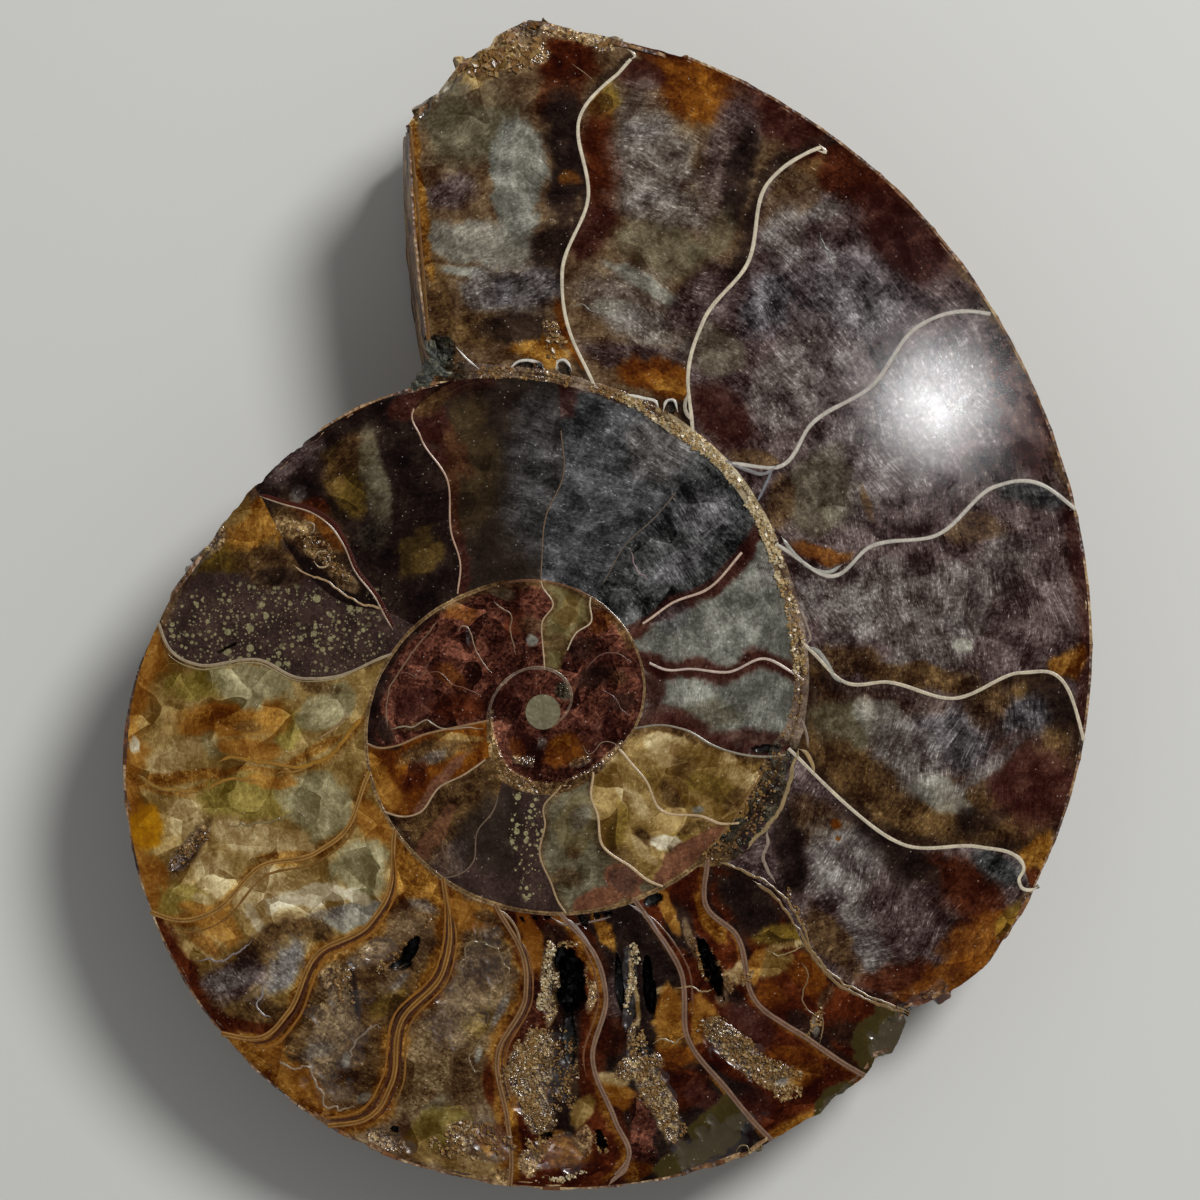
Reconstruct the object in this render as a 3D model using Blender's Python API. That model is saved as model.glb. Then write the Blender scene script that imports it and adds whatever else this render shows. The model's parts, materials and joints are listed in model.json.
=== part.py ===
"""Half of an ammonite fossil, sawn through the middle of its coil and polished on the cut.

The real thing is one fused stone: shell, chamber fillings and crystal grew into each other, so it
is one solid. It is modelled as it came about. The coil is built as whorls, each a loft of growing
half sections along the spiral, joined into one body. The saw takes it off flat, the mouth and the
rim are broken, the open pockets are hollowed, and the body is laid down on its rounded flank.

The coil is drawn with its core at the origin and the saw cut at z = 0, in millimetres. Angles are
counted from +X, anticlockwise seen from the cut, and fall by 360 with each turn into the coil.
"""

import math

import bmesh
import bpy
from mathutils import Euler, Matrix, Vector

MM = 0.001

# Spiral: distance from the core to the outer wall, every 30 degrees inwards from the mouth
WALL_FIRST_DEG = 120
WALL_STEP_DEG = 30
WALL_MM = [
    73.5, 69.4, 64.0, 58.4, 54.6, 51.3, 49.1, 47.8, 46.6, 44.4, 41.6, 37.6,
    35.7, 33.5, 31.6, 28.0, 25.7, 22.5, 21.0, 20.1, 19.4, 18.7, 17.5, 15.6,
    13.9, 13.1, 12.2, 11.1, 9.8, 8.3, 7.7, 7.5, 7.1, 5.8, 5.4, 5.0,
]

# Whorl section, as fractions of the wall's distance from the core
FLANK_DEPTH = 0.25
CREST = 0.57
UMBILICUS = 0.24
FLANK_POWER = 2.3
SHOULDER_POWER = 4.0

# Each loft: first and last angle, turn between sections, size, points in a quarter, height over
# the cut. The heights differ so that no two tops lie in one plane when the whorls are joined.
WHORLS = {
    "outer_whorl": (108.5, -235.0, 7.0, 1.0, 10, 3.0),
    "second_whorl": (-215.0, -568.0, 12.5, 0.995, 7, 5.0),
    "inner_whorls": (-550.0, -900.0, 22.0, 0.99, 4, 7.0),
}
FIRST_CHAMBER_MM = 4.5

# Breaks round the mouth are flat faces, each given by a point in its middle, the angle it looks
# out at, its length, and how many degrees it leans out on its way down
MOUTH_BREAK = ((-13.9, 64.0), 185.2, 60.0, 3.0)
TOP_LEFT_BREAKS = (((-10.9, 61.9), 139.0, 60.0, 8.0), ((-4.8, 67.2), 124.0, 60.0, 12.0))
BREAK_MM = 40.0

# Chips along the lower right rim are hollows: angle, distance from the core that the hollow
# reaches in to, length along the rim, depth
RIM_CHIPS = (
    (-39.5, 47.1, 8.5, 5.0),
    (-46.8, 47.5, 6.5, 6.0),
    (-53.5, 47.9, 6.0, 5.0),
    (-58.5, 47.9, 7.0, 4.5),
)
CHIP_OUTSIDE_MM = 2.0

# Open pockets in the chamber fillings: middle (x, y), width, length, depth and turn
POCKETS = {
    "pocket_large": ((2.4, -27.4), 2.8, 8.0, 5.5, 8.0),
    "pocket_right": ((16.8, -25.4), 1.6, 6.6, 4.0, 14.0),
    "pocket_slot": ((10.7, -28.0), 1.3, 6.4, 3.6, -2.0),
    "pocket_left": ((-13.9, -24.4), 3.6, 2.6, 3.0, 35.0),
}

# Rest: how the cut face leans when the half lies on its flank, and the depth of its worn spots
LEAN_X_DEG = 4.15
LEAN_Y_DEG = 2.53
WEAR_MM = 0.35
TABLE_MM = 300.0

STONE_RGB = (0.20, 0.10, 0.05)


def clear_scene():
    for thing in list(bpy.data.objects):
        bpy.data.objects.remove(thing)


def new_collection(name):
    collection = bpy.data.collections.new(name)
    bpy.context.scene.collection.children.link(collection)
    return collection


def wall_radius(angle):
    """Distance from the core to the wall at an angle, on a smooth curve through WALL_MM."""
    place = (WALL_FIRST_DEG - angle) / WALL_STEP_DEG
    k = min(max(int(place), 1), len(WALL_MM) - 3)
    t = place - k
    before, here, after, beyond = WALL_MM[k - 1:k + 3]
    slope_here = (after - before) / 2
    slope_after = (beyond - here) / 2
    bend = 2 * here - 2 * after + slope_here + slope_after
    lift = -3 * here + 3 * after - 2 * slope_here - slope_after
    return ((bend * t + lift) * t + slope_here) * t + here


def quarter(inner, outer, depth, power, count):
    """Points of a quarter of a superellipse, from (outer, 0) to (inner, -depth)."""
    points = []
    for i in range(count + 1):
        turn = math.pi / 2 * i / count
        out = max(math.cos(turn), 0.0) ** (2 / power)
        down = math.sin(turn) ** (2 / power)
        points.append((inner + (outer - inner) * out, -depth * down))
    return points


def whorl_section(wall, count, above):
    """Closed half section of a whorl: keel, flank, umbilical shoulder, and above the saw cut."""
    crest = wall * CREST
    depth = wall * FLANK_DEPTH
    flank = quarter(crest, wall, depth, FLANK_POWER, count)
    shoulder = quarter(crest, wall * UMBILICUS, depth, SHOULDER_POWER, count)
    top = [(wall * UMBILICUS, above), (wall, above)]
    return flank + shoulder[-2::-1] + top


def mesh_object(name, mesh, collection):
    thing = bpy.data.objects.new(name, mesh)
    collection.objects.link(thing)
    return thing


def whorl(name, collection):
    """Loft of half sections that shrink along the spiral, closed at both ends."""
    first, last, step, size, count, above = WHORLS[name]
    steps = round((first - last) / step)
    build = bmesh.new()
    rings = []
    for i in range(steps + 1):
        angle = first + (last - first) * i / steps
        outward = Vector((math.cos(math.radians(angle)), math.sin(math.radians(angle)), 0))
        section = whorl_section(wall_radius(angle) * size, count, above)
        rings.append([build.verts.new((outward * r + Vector((0, 0, z))) * MM) for r, z in section])
    for ring, following in zip(rings, rings[1:]):
        for k in range(len(ring)):
            m = (k + 1) % len(ring)
            build.faces.new((ring[k], ring[m], following[m], following[k]))
    build.faces.new(rings[0])
    build.faces.new(rings[-1])
    bmesh.ops.recalc_face_normals(build, faces=build.faces)
    mesh = bpy.data.meshes.new(name)
    build.to_mesh(mesh)
    build.free()
    return mesh_object(name, mesh, collection)


def box(name, size, place, collection):
    """A box of a given size, moved by a matrix, in millimetres."""
    build = bmesh.new()
    bmesh.ops.create_cube(build, size=1.0)
    bmesh.ops.scale(build, vec=Vector(size), verts=build.verts)
    bmesh.ops.transform(build, matrix=place, verts=build.verts)
    bmesh.ops.scale(build, vec=Vector((MM, MM, MM)), verts=build.verts)
    mesh = bpy.data.meshes.new(name)
    build.to_mesh(mesh)
    build.free()
    return mesh_object(name, mesh, collection)


def ball(name, size, place, collection):
    """An ellipsoid of given width, length and height, moved by a matrix, in millimetres."""
    build = bmesh.new()
    bmesh.ops.create_icosphere(build, subdivisions=2, radius=0.5)
    bmesh.ops.scale(build, vec=Vector(size), verts=build.verts)
    bmesh.ops.transform(build, matrix=place, verts=build.verts)
    bmesh.ops.scale(build, vec=Vector((MM, MM, MM)), verts=build.verts)
    mesh = bpy.data.meshes.new(name)
    build.to_mesh(mesh)
    build.free()
    return mesh_object(name, mesh, collection)


def turned_to(point, facing_deg):
    """Matrix that takes +X to an angle about Z, and the origin to a point of the cut's edge."""
    return Matrix.Translation((*point, 0)) @ Matrix.Rotation(math.radians(facing_deg), 4, "Z")


def flat_break(name, description, body, cutters):
    """Breaks the body off along one flat face."""
    point, facing, length, lean = description
    leaning = Matrix.Rotation(-math.radians(lean), 4, "Y")
    place = turned_to(point, facing) @ leaning @ Matrix.Translation((BREAK_MM / 2, 0, 0))
    size = (BREAK_MM, length, BREAK_MM * 2)
    boolean(body, box(name, size, place, cutters), "DIFFERENCE")


def boolean(thing, other, operation):
    modifier = thing.modifiers.new(f"{operation.lower()} {other.name}", "BOOLEAN")
    modifier.operation = operation
    modifier.solver = "EXACT"
    modifier.object = other


def inner_coil(body, cutters):
    """Joins the inner whorls and the first chamber, which fill the umbilicus, to the outer whorl."""
    for name in ("second_whorl", "inner_whorls"):
        boolean(body, whorl(name, cutters), "UNION")
    wide = FIRST_CHAMBER_MM * 2
    chamber = ball("first_chamber", (wide, wide, FIRST_CHAMBER_MM), Matrix(), cutters)
    boolean(body, chamber, "UNION")


def saw_cut(body, cutters):
    """Takes everything above z = 0 off, which leaves the flat face that was polished."""
    half = TABLE_MM / 2
    saw = box("saw_cut", (TABLE_MM, TABLE_MM, TABLE_MM), Matrix.Translation((0, 0, half)), cutters)
    boolean(body, saw, "DIFFERENCE")


def broken_rim(body, cutters):
    """Breaks the corner above the mouth off and chips the lower right rim."""
    for number, corner in enumerate(TOP_LEFT_BREAKS, 1):
        flat_break(f"top_left_break_{number}", corner, body, cutters)
    for number, (angle, reach, length, deep) in enumerate(RIM_CHIPS, 1):
        away = wall_radius(angle) + CHIP_OUTSIDE_MM
        size = ((away - reach) * 2, length, deep * 2)
        place = Matrix.Rotation(math.radians(angle), 4, "Z") @ Matrix.Translation((away, 0, 0))
        boolean(body, ball(f"rim_chip_{number}", size, place, cutters), "DIFFERENCE")


def open_pockets(body, cutters):
    """Hollows the pockets that the crystal never filled."""
    for name, ((x, y), wide, long, deep, turn) in POCKETS.items():
        size = (wide, long, deep * 2)
        boolean(body, ball(name, size, turned_to((x, y), turn), cutters), "DIFFERENCE")


def world_corners(thing):
    """Lowest and highest corner of the evaluated object, in metres."""
    bpy.context.view_layer.update()
    graph = bpy.context.evaluated_depsgraph_get()
    evaluated = thing.evaluated_get(graph)
    mesh = evaluated.to_mesh()
    points = [evaluated.matrix_world @ v.co for v in mesh.vertices]
    low = Vector([min(p[k] for p in points) for k in range(3)])
    high = Vector([max(p[k] for p in points) for k in range(3)])
    evaluated.to_mesh_clear()
    return low, high


def laid_down(body, cutters):
    """Leans the half as it lies on its flank, centres it, and wears flat spots where it touches."""
    holder = bpy.data.objects.new("as_it_lies", None)
    bpy.context.scene.collection.objects.link(holder)
    for thing in [body, *cutters.objects]:
        thing.parent = holder
    holder.rotation_euler = Euler((math.radians(LEAN_X_DEG), math.radians(LEAN_Y_DEG), 0))
    low, high = world_corners(body)
    middle = (low + high) / 2
    holder.location = (-middle.x, -middle.y, -low.z - WEAR_MM * MM)
    under = Matrix.Translation((0, 0, -TABLE_MM / 2))
    table = box("worn_spots", (TABLE_MM, TABLE_MM, TABLE_MM), under, cutters)
    boolean(body, table, "DIFFERENCE")


def stone():
    material = bpy.data.materials.new("polished_calcite_and_shell")
    material.use_nodes = True
    shader = material.node_tree.nodes["Principled BSDF"]
    shader.inputs["Base Color"].default_value = (*STONE_RGB, 1)
    shader.inputs["Roughness"].default_value = 0.2
    shader.inputs["Metallic"].default_value = 0.0
    return material


def main():
    clear_scene()
    fossil = new_collection("ammonite_fossil_half")
    cutters = new_collection("cutters")
    body = whorl("outer_whorl", fossil)
    body.name = "ammonite_half"
    body.data.materials.append(stone())
    flat_break("mouth_break", MOUTH_BREAK, body, cutters)
    inner_coil(body, cutters)
    saw_cut(body, cutters)
    broken_rim(body, cutters)
    open_pockets(body, cutters)
    laid_down(body, cutters)
    for cutter in cutters.objects:
        cutter.hide_render = True
        cutter.display_type = "WIRE"


main()
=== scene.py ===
"""Looks of a sawn and polished ammonite half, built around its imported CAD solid.

The half is one stone, shown as what grew in it: the shell flank that it lies on, the mineral fillings
of its chambers, the chamber walls, the wall between the whorls, open pockets with small crystals, and
the broken edges. Everything is drawn in the frame of the saw cut: millimetres from the coil's core,
height 0 on the polished face, angles anticlockwise that fall by 360 with each turn into the coil.
"""

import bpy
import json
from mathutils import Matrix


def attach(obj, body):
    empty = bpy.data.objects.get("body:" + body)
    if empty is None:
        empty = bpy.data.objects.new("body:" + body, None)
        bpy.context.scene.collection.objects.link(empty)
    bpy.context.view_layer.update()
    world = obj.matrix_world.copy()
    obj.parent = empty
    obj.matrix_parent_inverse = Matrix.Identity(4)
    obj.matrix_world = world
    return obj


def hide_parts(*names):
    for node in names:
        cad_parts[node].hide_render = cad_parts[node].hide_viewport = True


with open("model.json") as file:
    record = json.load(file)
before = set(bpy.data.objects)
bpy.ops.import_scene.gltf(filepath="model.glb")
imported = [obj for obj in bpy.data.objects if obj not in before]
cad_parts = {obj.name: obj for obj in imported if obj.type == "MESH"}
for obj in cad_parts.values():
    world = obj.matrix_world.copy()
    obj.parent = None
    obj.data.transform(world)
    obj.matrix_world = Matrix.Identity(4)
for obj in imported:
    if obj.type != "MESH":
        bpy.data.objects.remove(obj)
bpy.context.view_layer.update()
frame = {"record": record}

import json
import math

import bpy
import numpy as np
from mathutils import Matrix, Vector

# ------------------------------------------------------------------ the shell flank that it lies on
# The outside of the shell: a thin brown calcite wall with faint ribs and growth lines, which the
# animal grew in whorls. The saw leaves its cut edge as the thin line round the polished face.

MM = 0.001
face = next(m for m in frame["record"]["mounts"] if m["name"] == "polished_face")
up = Vector(face["axis"]).normalized()
right = Vector((up.z, 0, -up.x)).normalized()
turned = Matrix((right, up.cross(right), up)).transposed().to_4x4()
FACE_TO_ROW = Matrix.Translation(face["pos_m"]) @ turned @ Matrix.Scale(MM, 4)

# Distance from the core to the outer wall, every 30 degrees inwards from the mouth
WALL_FIRST = 120
WALL_STEP = 30
WALL_MM = np.array([
    73.5, 69.4, 64.0, 58.4, 54.6, 51.3, 49.1, 47.8, 46.6, 44.4, 41.6, 37.6, 35.7, 33.5, 31.6,
    28.0, 25.7, 22.5, 21.0, 20.1, 19.4, 18.7, 17.5, 15.6, 13.9, 13.1, 12.2, 11.1, 9.8, 8.3, 7.7,
    7.5, 7.1, 5.8, 5.4, 5.0, 4.7, 4.4, 4.0, 3.3, 2.4, 1.8, 1.6,
])
COIL_END = -1140
# Angles where the mouth is broken off, and where the outermost whorl starts to cover the next
MOUTH_DEG = 104.0
WHORL_END = -256
# Degrees in a radian, near enough for the sizes of grids and patterns
RADIAN_DEG = 57

# Where the rim is broken: angle and distance from the core
CORNER_BREAK = [
    (78, 67.0), (81, 67.3), (82.8, 67.5), (84.9, 68.0), (87.3, 68.3), (89.2, 69.0), (91.2, 69.5),
    (92.1, 69.0), (94.1, 67.9), (94.5, 67.0), (97.2, 65.6), (99.6, 62.9), (101.7, 61.6),
    (102.8, 60.4), (112, 58.0),
]
RIM_CHIPS = [
    (-65, 48.9), (-61.7, 48.6), (-57.2, 48.5), (-55.3, 48.9), (-52.7, 48.3), (-51.9, 48.6),
    (-49.4, 48.7), (-47.2, 48.5), (-46.1, 48.0), (-44.4, 48.9), (-43, 48.7), (-42.1, 48.3),
    (-40.6, 47.9), (-39.9, 47.0), (-39.1, 47.2), (-37.7, 48.0), (-35.3, 49.0), (-33.5, 49.8),
    (-31.9, 50.4), (-29.5, 51.2), (-26, 51.4),
]
# How much of the rim has flaked away, in mm, at angles round it
RIM_WEAR = ((-256, 0.2), (-236, 0.3), (-228, 1.3), (-196, 1.3), (-186, 0.4), (-130, 0.3),
            (-100, 0.5), (-60, 0.3), (-20, 0.3), (0, 0.1), (70, 0.15), (104, 0.3))
# The broken mouth: distance from the core and angle, and how far it leans for each mm down
MOUTH_LINE = ((30.0, 109.0), (36.0, 108.0), (60.4, 102.8), (75.0, 100.5))
MOUTH_LEAN = 0.085

# The flank under each whorl: its lowest line and its inner foot as shares of the distance to the
# wall, its depth as a share of the same, and how square its outer and inner sides are
CREST = 0.57
UMBILICUS = 0.24
FLANK_DEPTH = 0.25
FLANK_POWER = 2.3
SHOULDER_POWER = 4.0
# How thick the shell and the skins of the fillings are
SHELL_MM = 0.4
FILLING_MM = 1.0
# The lowest that a piece may reach over the floor, in metres
REST_HEIGHT = 0.00001


def on_face(radius, angle):
    """Place on the face from a distance and an angle round the core."""
    return radius * np.cos(np.radians(angle)), radius * np.sin(np.radians(angle))


def wall(angle):
    """Distance from the core to the outer wall of the coil at an angle."""
    place = (WALL_FIRST - np.asarray(angle, float)) / WALL_STEP
    k = np.clip(place.astype(int), 1, len(WALL_MM) - 3)
    t = np.minimum(place - k, 1.0)
    before, here, after, beyond = (WALL_MM[k + i] for i in (-1, 0, 1, 2))
    leave = (after - before) / 2
    arrive = (beyond - here) / 2
    bend = 2 * here - 2 * after + leave + arrive
    lift = 3 * after - 3 * here - 2 * leave - arrive
    return ((bend * t + lift) * t + leave) * t + here


def scatter(ix, iy, seed):
    """A fixed random number from 0 to 1 for each pair of whole numbers."""
    mixed = (ix * 374761393 + iy * 668265263 + seed * 974634777) & 0xFFFFFFFF
    mixed = ((mixed ^ (mixed >> 13)) * 1274126177) & 0xFFFFFFFF
    return ((mixed ^ (mixed >> 16)) & 0xFFFF) / 65535.0


def mottle(x, y, size, seed, octaves=4):
    """Smooth noise of about -0.5 to 0.5, with lumps of a size in millimetres."""
    total = np.zeros_like(x)
    gain = 0.55
    for octave in range(octaves):
        gx = x / size + 17.3 * octave
        gy = y / size - 9.1 * octave
        ix = np.floor(gx).astype(np.int64)
        iy = np.floor(gy).astype(np.int64)
        fx = gx - ix
        fy = gy - iy
        fx = fx * fx * (3 - 2 * fx)
        fy = fy * fy * (3 - 2 * fy)
        low = scatter(ix, iy, seed) * (1 - fx) + scatter(ix + 1, iy, seed) * fx
        high = scatter(ix, iy + 1, seed) * (1 - fx) + scatter(ix + 1, iy + 1, seed) * fx
        total += (low * (1 - fy) + high * fy - 0.5) * gain
        size *= 0.5
        gain *= 0.55
    return total


def rim(angle):
    """Distance from the core to the edge of the face, less than the wall where it is broken."""
    angle = np.asarray(angle, float)
    edge = wall(angle)
    for line in (CORNER_BREAK, RIM_CHIPS):
        spots = np.array(sorted(line))
        inside = (angle > spots[0, 0]) & (angle < spots[-1, 0])
        broken = np.interp(angle, spots[:, 0], spots[:, 1])
        edge = np.where(inside, np.minimum(edge, broken), edge)
    worn = np.interp(angle, *zip(*RIM_WEAR))
    x = angle * edge / RADIAN_DEG
    return edge - worn * np.clip(mottle(x, x * 0, 1.6, 9, 4) + 0.15, 0, 1)


def ease(t):
    """0 below 0, 1 above 1, and a smooth rise between."""
    t = np.clip(t, 0, 1)
    return t * t * (3 - 2 * t)


def skin(name, along, across, place):
    """A grid shaped by place(s, t), which gives x, y and height."""
    bpy.ops.object.select_all(action="DESELECT")
    bpy.ops.mesh.primitive_grid_add(x_subdivisions=along, y_subdivisions=across, size=2)
    piece = bpy.context.object
    piece.name = name
    mesh = piece.data
    flat = np.empty(len(mesh.vertices) * 3)
    mesh.vertices.foreach_get("co", flat)
    spots = np.stack(place((flat[0::3] + 1) / 2, (flat[1::3] + 1) / 2), 1)
    mesh.vertices.foreach_set("co", spots.ravel())
    mesh.update()
    return piece


def face_way(piece, height_sign):
    """Turns the faces of an open skin so that on the whole they look up (1) or down (-1)."""
    facing = sum(p.normal.z * p.area for p in piece.data.polygons)
    if facing * height_sign < 0:
        piece.data.flip_normals()


def applied(piece, kind, **settings):
    """Adds a modifier with these settings and applies it."""
    bpy.context.view_layer.objects.active = piece
    modifier = piece.modifiers.new(kind.lower(), kind)
    for key, value in settings.items():
        setattr(modifier, key, value)
    bpy.ops.object.modifier_apply(modifier=modifier.name)


def laid(piece, material, crease=35):
    """Moves a finished piece from the frame of the cut to the row's, worn flat where it rests."""
    piece.data.transform(FACE_TO_ROW)
    corners = np.empty(len(piece.data.vertices) * 3)
    piece.data.vertices.foreach_get("co", corners)
    corners[2::3] = np.maximum(corners[2::3], REST_HEIGHT)
    piece.data.vertices.foreach_set("co", corners)
    piece.data.materials.clear()
    piece.data.materials.append(material)
    bpy.ops.object.select_all(action="DESELECT")
    piece.select_set(True)
    bpy.context.view_layer.objects.active = piece
    bpy.ops.object.shade_smooth_by_angle(angle=math.radians(crease))
    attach(piece, "root")
    return piece


def linear(colour):
    """sRGB hex to linear red, green and blue."""
    parts = [int(colour[i:i + 2], 16) / 255 for i in (0, 2, 4)]
    return [c / 12.92 if c <= 0.04045 else ((c + 0.055) / 1.055) ** 2.4 for c in parts]


def plug(node, sockets):
    """Gives a node's sockets their values, or links from outputs or from nodes' first outputs."""
    for key, value in sockets.items():
        if isinstance(value, bpy.types.Node):
            value = value.outputs[0]
        if isinstance(value, bpy.types.NodeSocket):
            node.id_data.links.new(value, node.inputs[key])
        else:
            node.inputs[key].default_value = value


def add(tree, kind, sockets, stops=(), **settings):
    """Adds a shader node with its settings, its sockets, and (place, hex) stops for a ramp."""
    made = tree.nodes.new("ShaderNode" + kind)
    for key, value in settings.items():
        setattr(made, key, value)
    plug(made, sockets)
    while stops and len(made.color_ramp.elements) < len(stops):
        made.color_ramp.elements.new(0.5)
    for number, (place, colour) in enumerate(stops):
        made.color_ramp.elements[number].position = place
        made.color_ramp.elements[number].color = (*linear(colour), 1)
    return made


def new_material(name):
    """A material with a Principled shader, and the piece's own coordinates in millimetres."""
    material = bpy.data.materials.new(name)
    material.use_nodes = True
    tree = material.node_tree
    place = add(tree, "TexCoord", {}).outputs["Object"]
    scaled = add(tree, "VectorMath", {0: place, "Scale": 1 / MM}, operation="SCALE")
    return material, tree, tree.nodes["Principled BSDF"], scaled


# Ribs and growth lines, and how much of the coil the flank follows
RIB_DEG = 5.2
RIB_MM = 0.22
GROWTH_MM = 0.05
FLANK_DEG = 920
ROUND_SHARE = 0.6


def flank(s, t):
    """The outside of the shell along the spiral (s) and round its half section (t)."""
    angle = MOUTH_DEG - s * FLANK_DEG
    edge = wall(angle)
    crest = edge * CREST
    start = np.arccos(np.clip((rim(angle) - crest) / (edge - crest), 0, 1) ** (FLANK_POWER / 2))
    outer = t < ROUND_SHARE
    turn = np.where(outer, start + (np.pi / 2 - start) * t / ROUND_SHARE,
                    (1 - t) / (1 - ROUND_SHARE) * np.pi / 2)
    out = np.clip(np.cos(turn), 0, 1)
    down = np.clip(np.sin(turn), 0, 1)
    power = np.where(outer, FLANK_POWER, SHOULDER_POWER)
    reach = np.where(outer, edge - crest, edge * UMBILICUS - crest)
    radius = crest + reach * out ** (2 / power)
    deep = edge * FLANK_DEPTH * down ** (2 / power)
    sway = 5 * np.sin(t * 2 * np.pi) - 6 * t
    rib = np.sin((angle + sway) / RIB_DEG * 2 * np.pi)
    fade = ease(t / 0.12) * ease((1.0 - t) / 0.25) * edge / WALL_MM[0]
    rough = mottle(*on_face(radius, angle), 4.0, 3) + 0.5 * np.sin((angle + sway) * 2.6)
    deep = deep + fade * (RIB_MM * rib + GROWTH_MM * rough)
    inside = np.where(angle < WHORL_END + 4, 1.0, ease((crest - radius) / 3))
    deep = np.maximum(deep, inside * 2 * FILLING_MM)
    first = ease((angle - MOUTH_DEG + 8) / 8)
    mouth = np.interp(radius, *zip(*MOUTH_LINE))
    x, y = on_face(radius, angle + first * (mouth - MOUTH_DEG))
    return x - first * MOUTH_LEAN * deep, y, -deep


shell = skin("shell_flank", 920, 44, flank)
face_way(shell, -1)
applied(shell, "SOLIDIFY", thickness=SHELL_MM, offset=-1)

# Ammonite shell turned to calcite: brown, clouded every 11 mm and grained every 0.7 mm, with a low
# natural shine that reads as old horn.
material, tree, shader, place = new_material("calcite_shell_flank")
broad = add(tree, "TexNoise", {"Vector": place, "Scale": 0.09, "Detail": 6, "Roughness": 0.6})
fine = add(tree, "TexNoise", {"Vector": place, "Scale": 1.4, "Detail": 5, "Roughness": 0.65})
mixed = add(tree, "Mix", {0: 0.35, 2: broad, 3: fine})
tone = add(tree, "ValToRGB", {0: mixed}, stops=[
    (0.34, "1f110b"), (0.44, "3b2011"), (0.52, "6a3f1c"), (0.6, "8a6438"), (0.7, "b09468")])
bump = add(tree, "Bump", {"Height": fine, "Strength": 0.35, "Distance": 0.2 * MM})
plug(shader, {"Base Color": tone, "Normal": bump, "Roughness": 0.42})
laid(shell, material)
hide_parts("ammonite_half")

# ------------------------------------------------------------------ the chamber fillings
# Calcite that grew into the gas chambers from their walls: dark and amber bands first, then smoky,
# milky or honey crystal, with mud where the shell leaked. Sawn flat and polished.

GRAIN_MM = 0.22
ACROSS = np.array([0, 0.12, 0.3, 0.52, 0.76, 0.92, 1.0])

# The chamber walls, from the mouth inwards: angle at each place across the whorl, inside to rim
SEPTA = {
    "mouth": (108.2, 107.5, 106.4, 105.2, 103.9, 103.1, 102.8),
    "s1": (81, 85.5, 87.5, 85, 86.4, 83, 81.5),
    "s2": (61.9, 66.3, 67.7, 65.5, 67, 64.5, 62.5),
    "s3": (53.5, 46.4, 47, 44.8, 45.8, 43.5, 41.2),
    "s4": (36, 26, 26.8, 24.2, 26.5, 24.2, 20.8),
    "s5": (15, 6.5, 4.9, 1.9, 4.7, 2.6, -3),
    "s6": (-8.5, -12.8, -17.5, -20.2, -17.2, -17.4, -20),
    "s7": (-41, -39, -37.8, -42, -41.3, -39.2, -38.5),
    "s8": (-41, -49.2, -49.1, -53.6, -51, -49.4, -48.5),
    "s9": (-64, -62.7, -62, -66, -64, -62.7, -61.9),
    "s10": (-85, -79, -77.4, -81.8, -80, -79.5, -83),
    "s11": (-104, -96.2, -93.5, -97.5, -95, -94, -94),
    "s12": (-121, -114.2, -111.1, -114.6, -112.2, -113.8, -117.5),
    "s13": (-141.5, -132.5, -129.4, -133, -130.3, -131.5, -135),
    "s14": (-161, -151, -148.2, -151.3, -148.8, -150.5, -153),
    "s15": (-179.3, -170.3, -167.3, -170, -167.8, -170, -172),
    "s16": (-201, -192, -188, -190.4, -187.8, -190, -193),
    "s17": (-214, -213, -209, -210, -214, -217, -218),
    "t1": (-233, -240, -243, -247.5, -246, -248, -255),
    "t2": (-269, -269.6, -270.6, -274.8, -273.6, -273, -272.5),
    "t3": (-294.5, -295.2, -296, -299.8, -301.2, -300.5, -299.5),
    "t4": (-317, -318.7, -319.8, -323.2, -321.6, -320, -319),
    "t5": (-331.5, -340, -343.8, -347.8, -346.5, -350.8, -353),
    "t6": (-370, -366.7, -367, -371, -372, -371, -370),
    "t7": (-386, -389.9, -393.8, -399.8, -393.5, -391.8, -389.5),
    "t8": (-410, -419, -422, -426, -420.5, -417.8, -415.5),
    "t9": (-436, -448.1, -449, -451.4, -447.3, -445.2, -443.5),
    "t10": (-481.5, -479.4, -476.8, -478.8, -475, -477.8, -481),
    "t11": (-500, -500.5, -501.5, -504, -500.8, -504.3, -508),
    "t12": (-531, -530.5, -530, -529.3, -527, -528, -530),
    "u1": (-554, -554, -554, -557.5, -560.5, -554.5, -553),
    "u2": (-578, -578.3, -579, -581.8, -588.5, -582, -580),
    "u3": (-606, -605, -604, -605.5, -612.5, -606, -604.5),
    "u4": (-632, -631, -629.5, -629.4, -635.3, -630, -629),
    "u5": (-653, -652, -651.5, -652.5, -658, -653.5, -652.5),
    "u6": (-672, -672.3, -672.8, -674, -681, -684, -685),
    "v1": (-740,) * 7,
    "v2": (-820,) * 7,
    "v3": (-903,) * 7,
    "v4": (-1000,) * 7,
    "v5": (COIL_END,) * 7,
}

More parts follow.
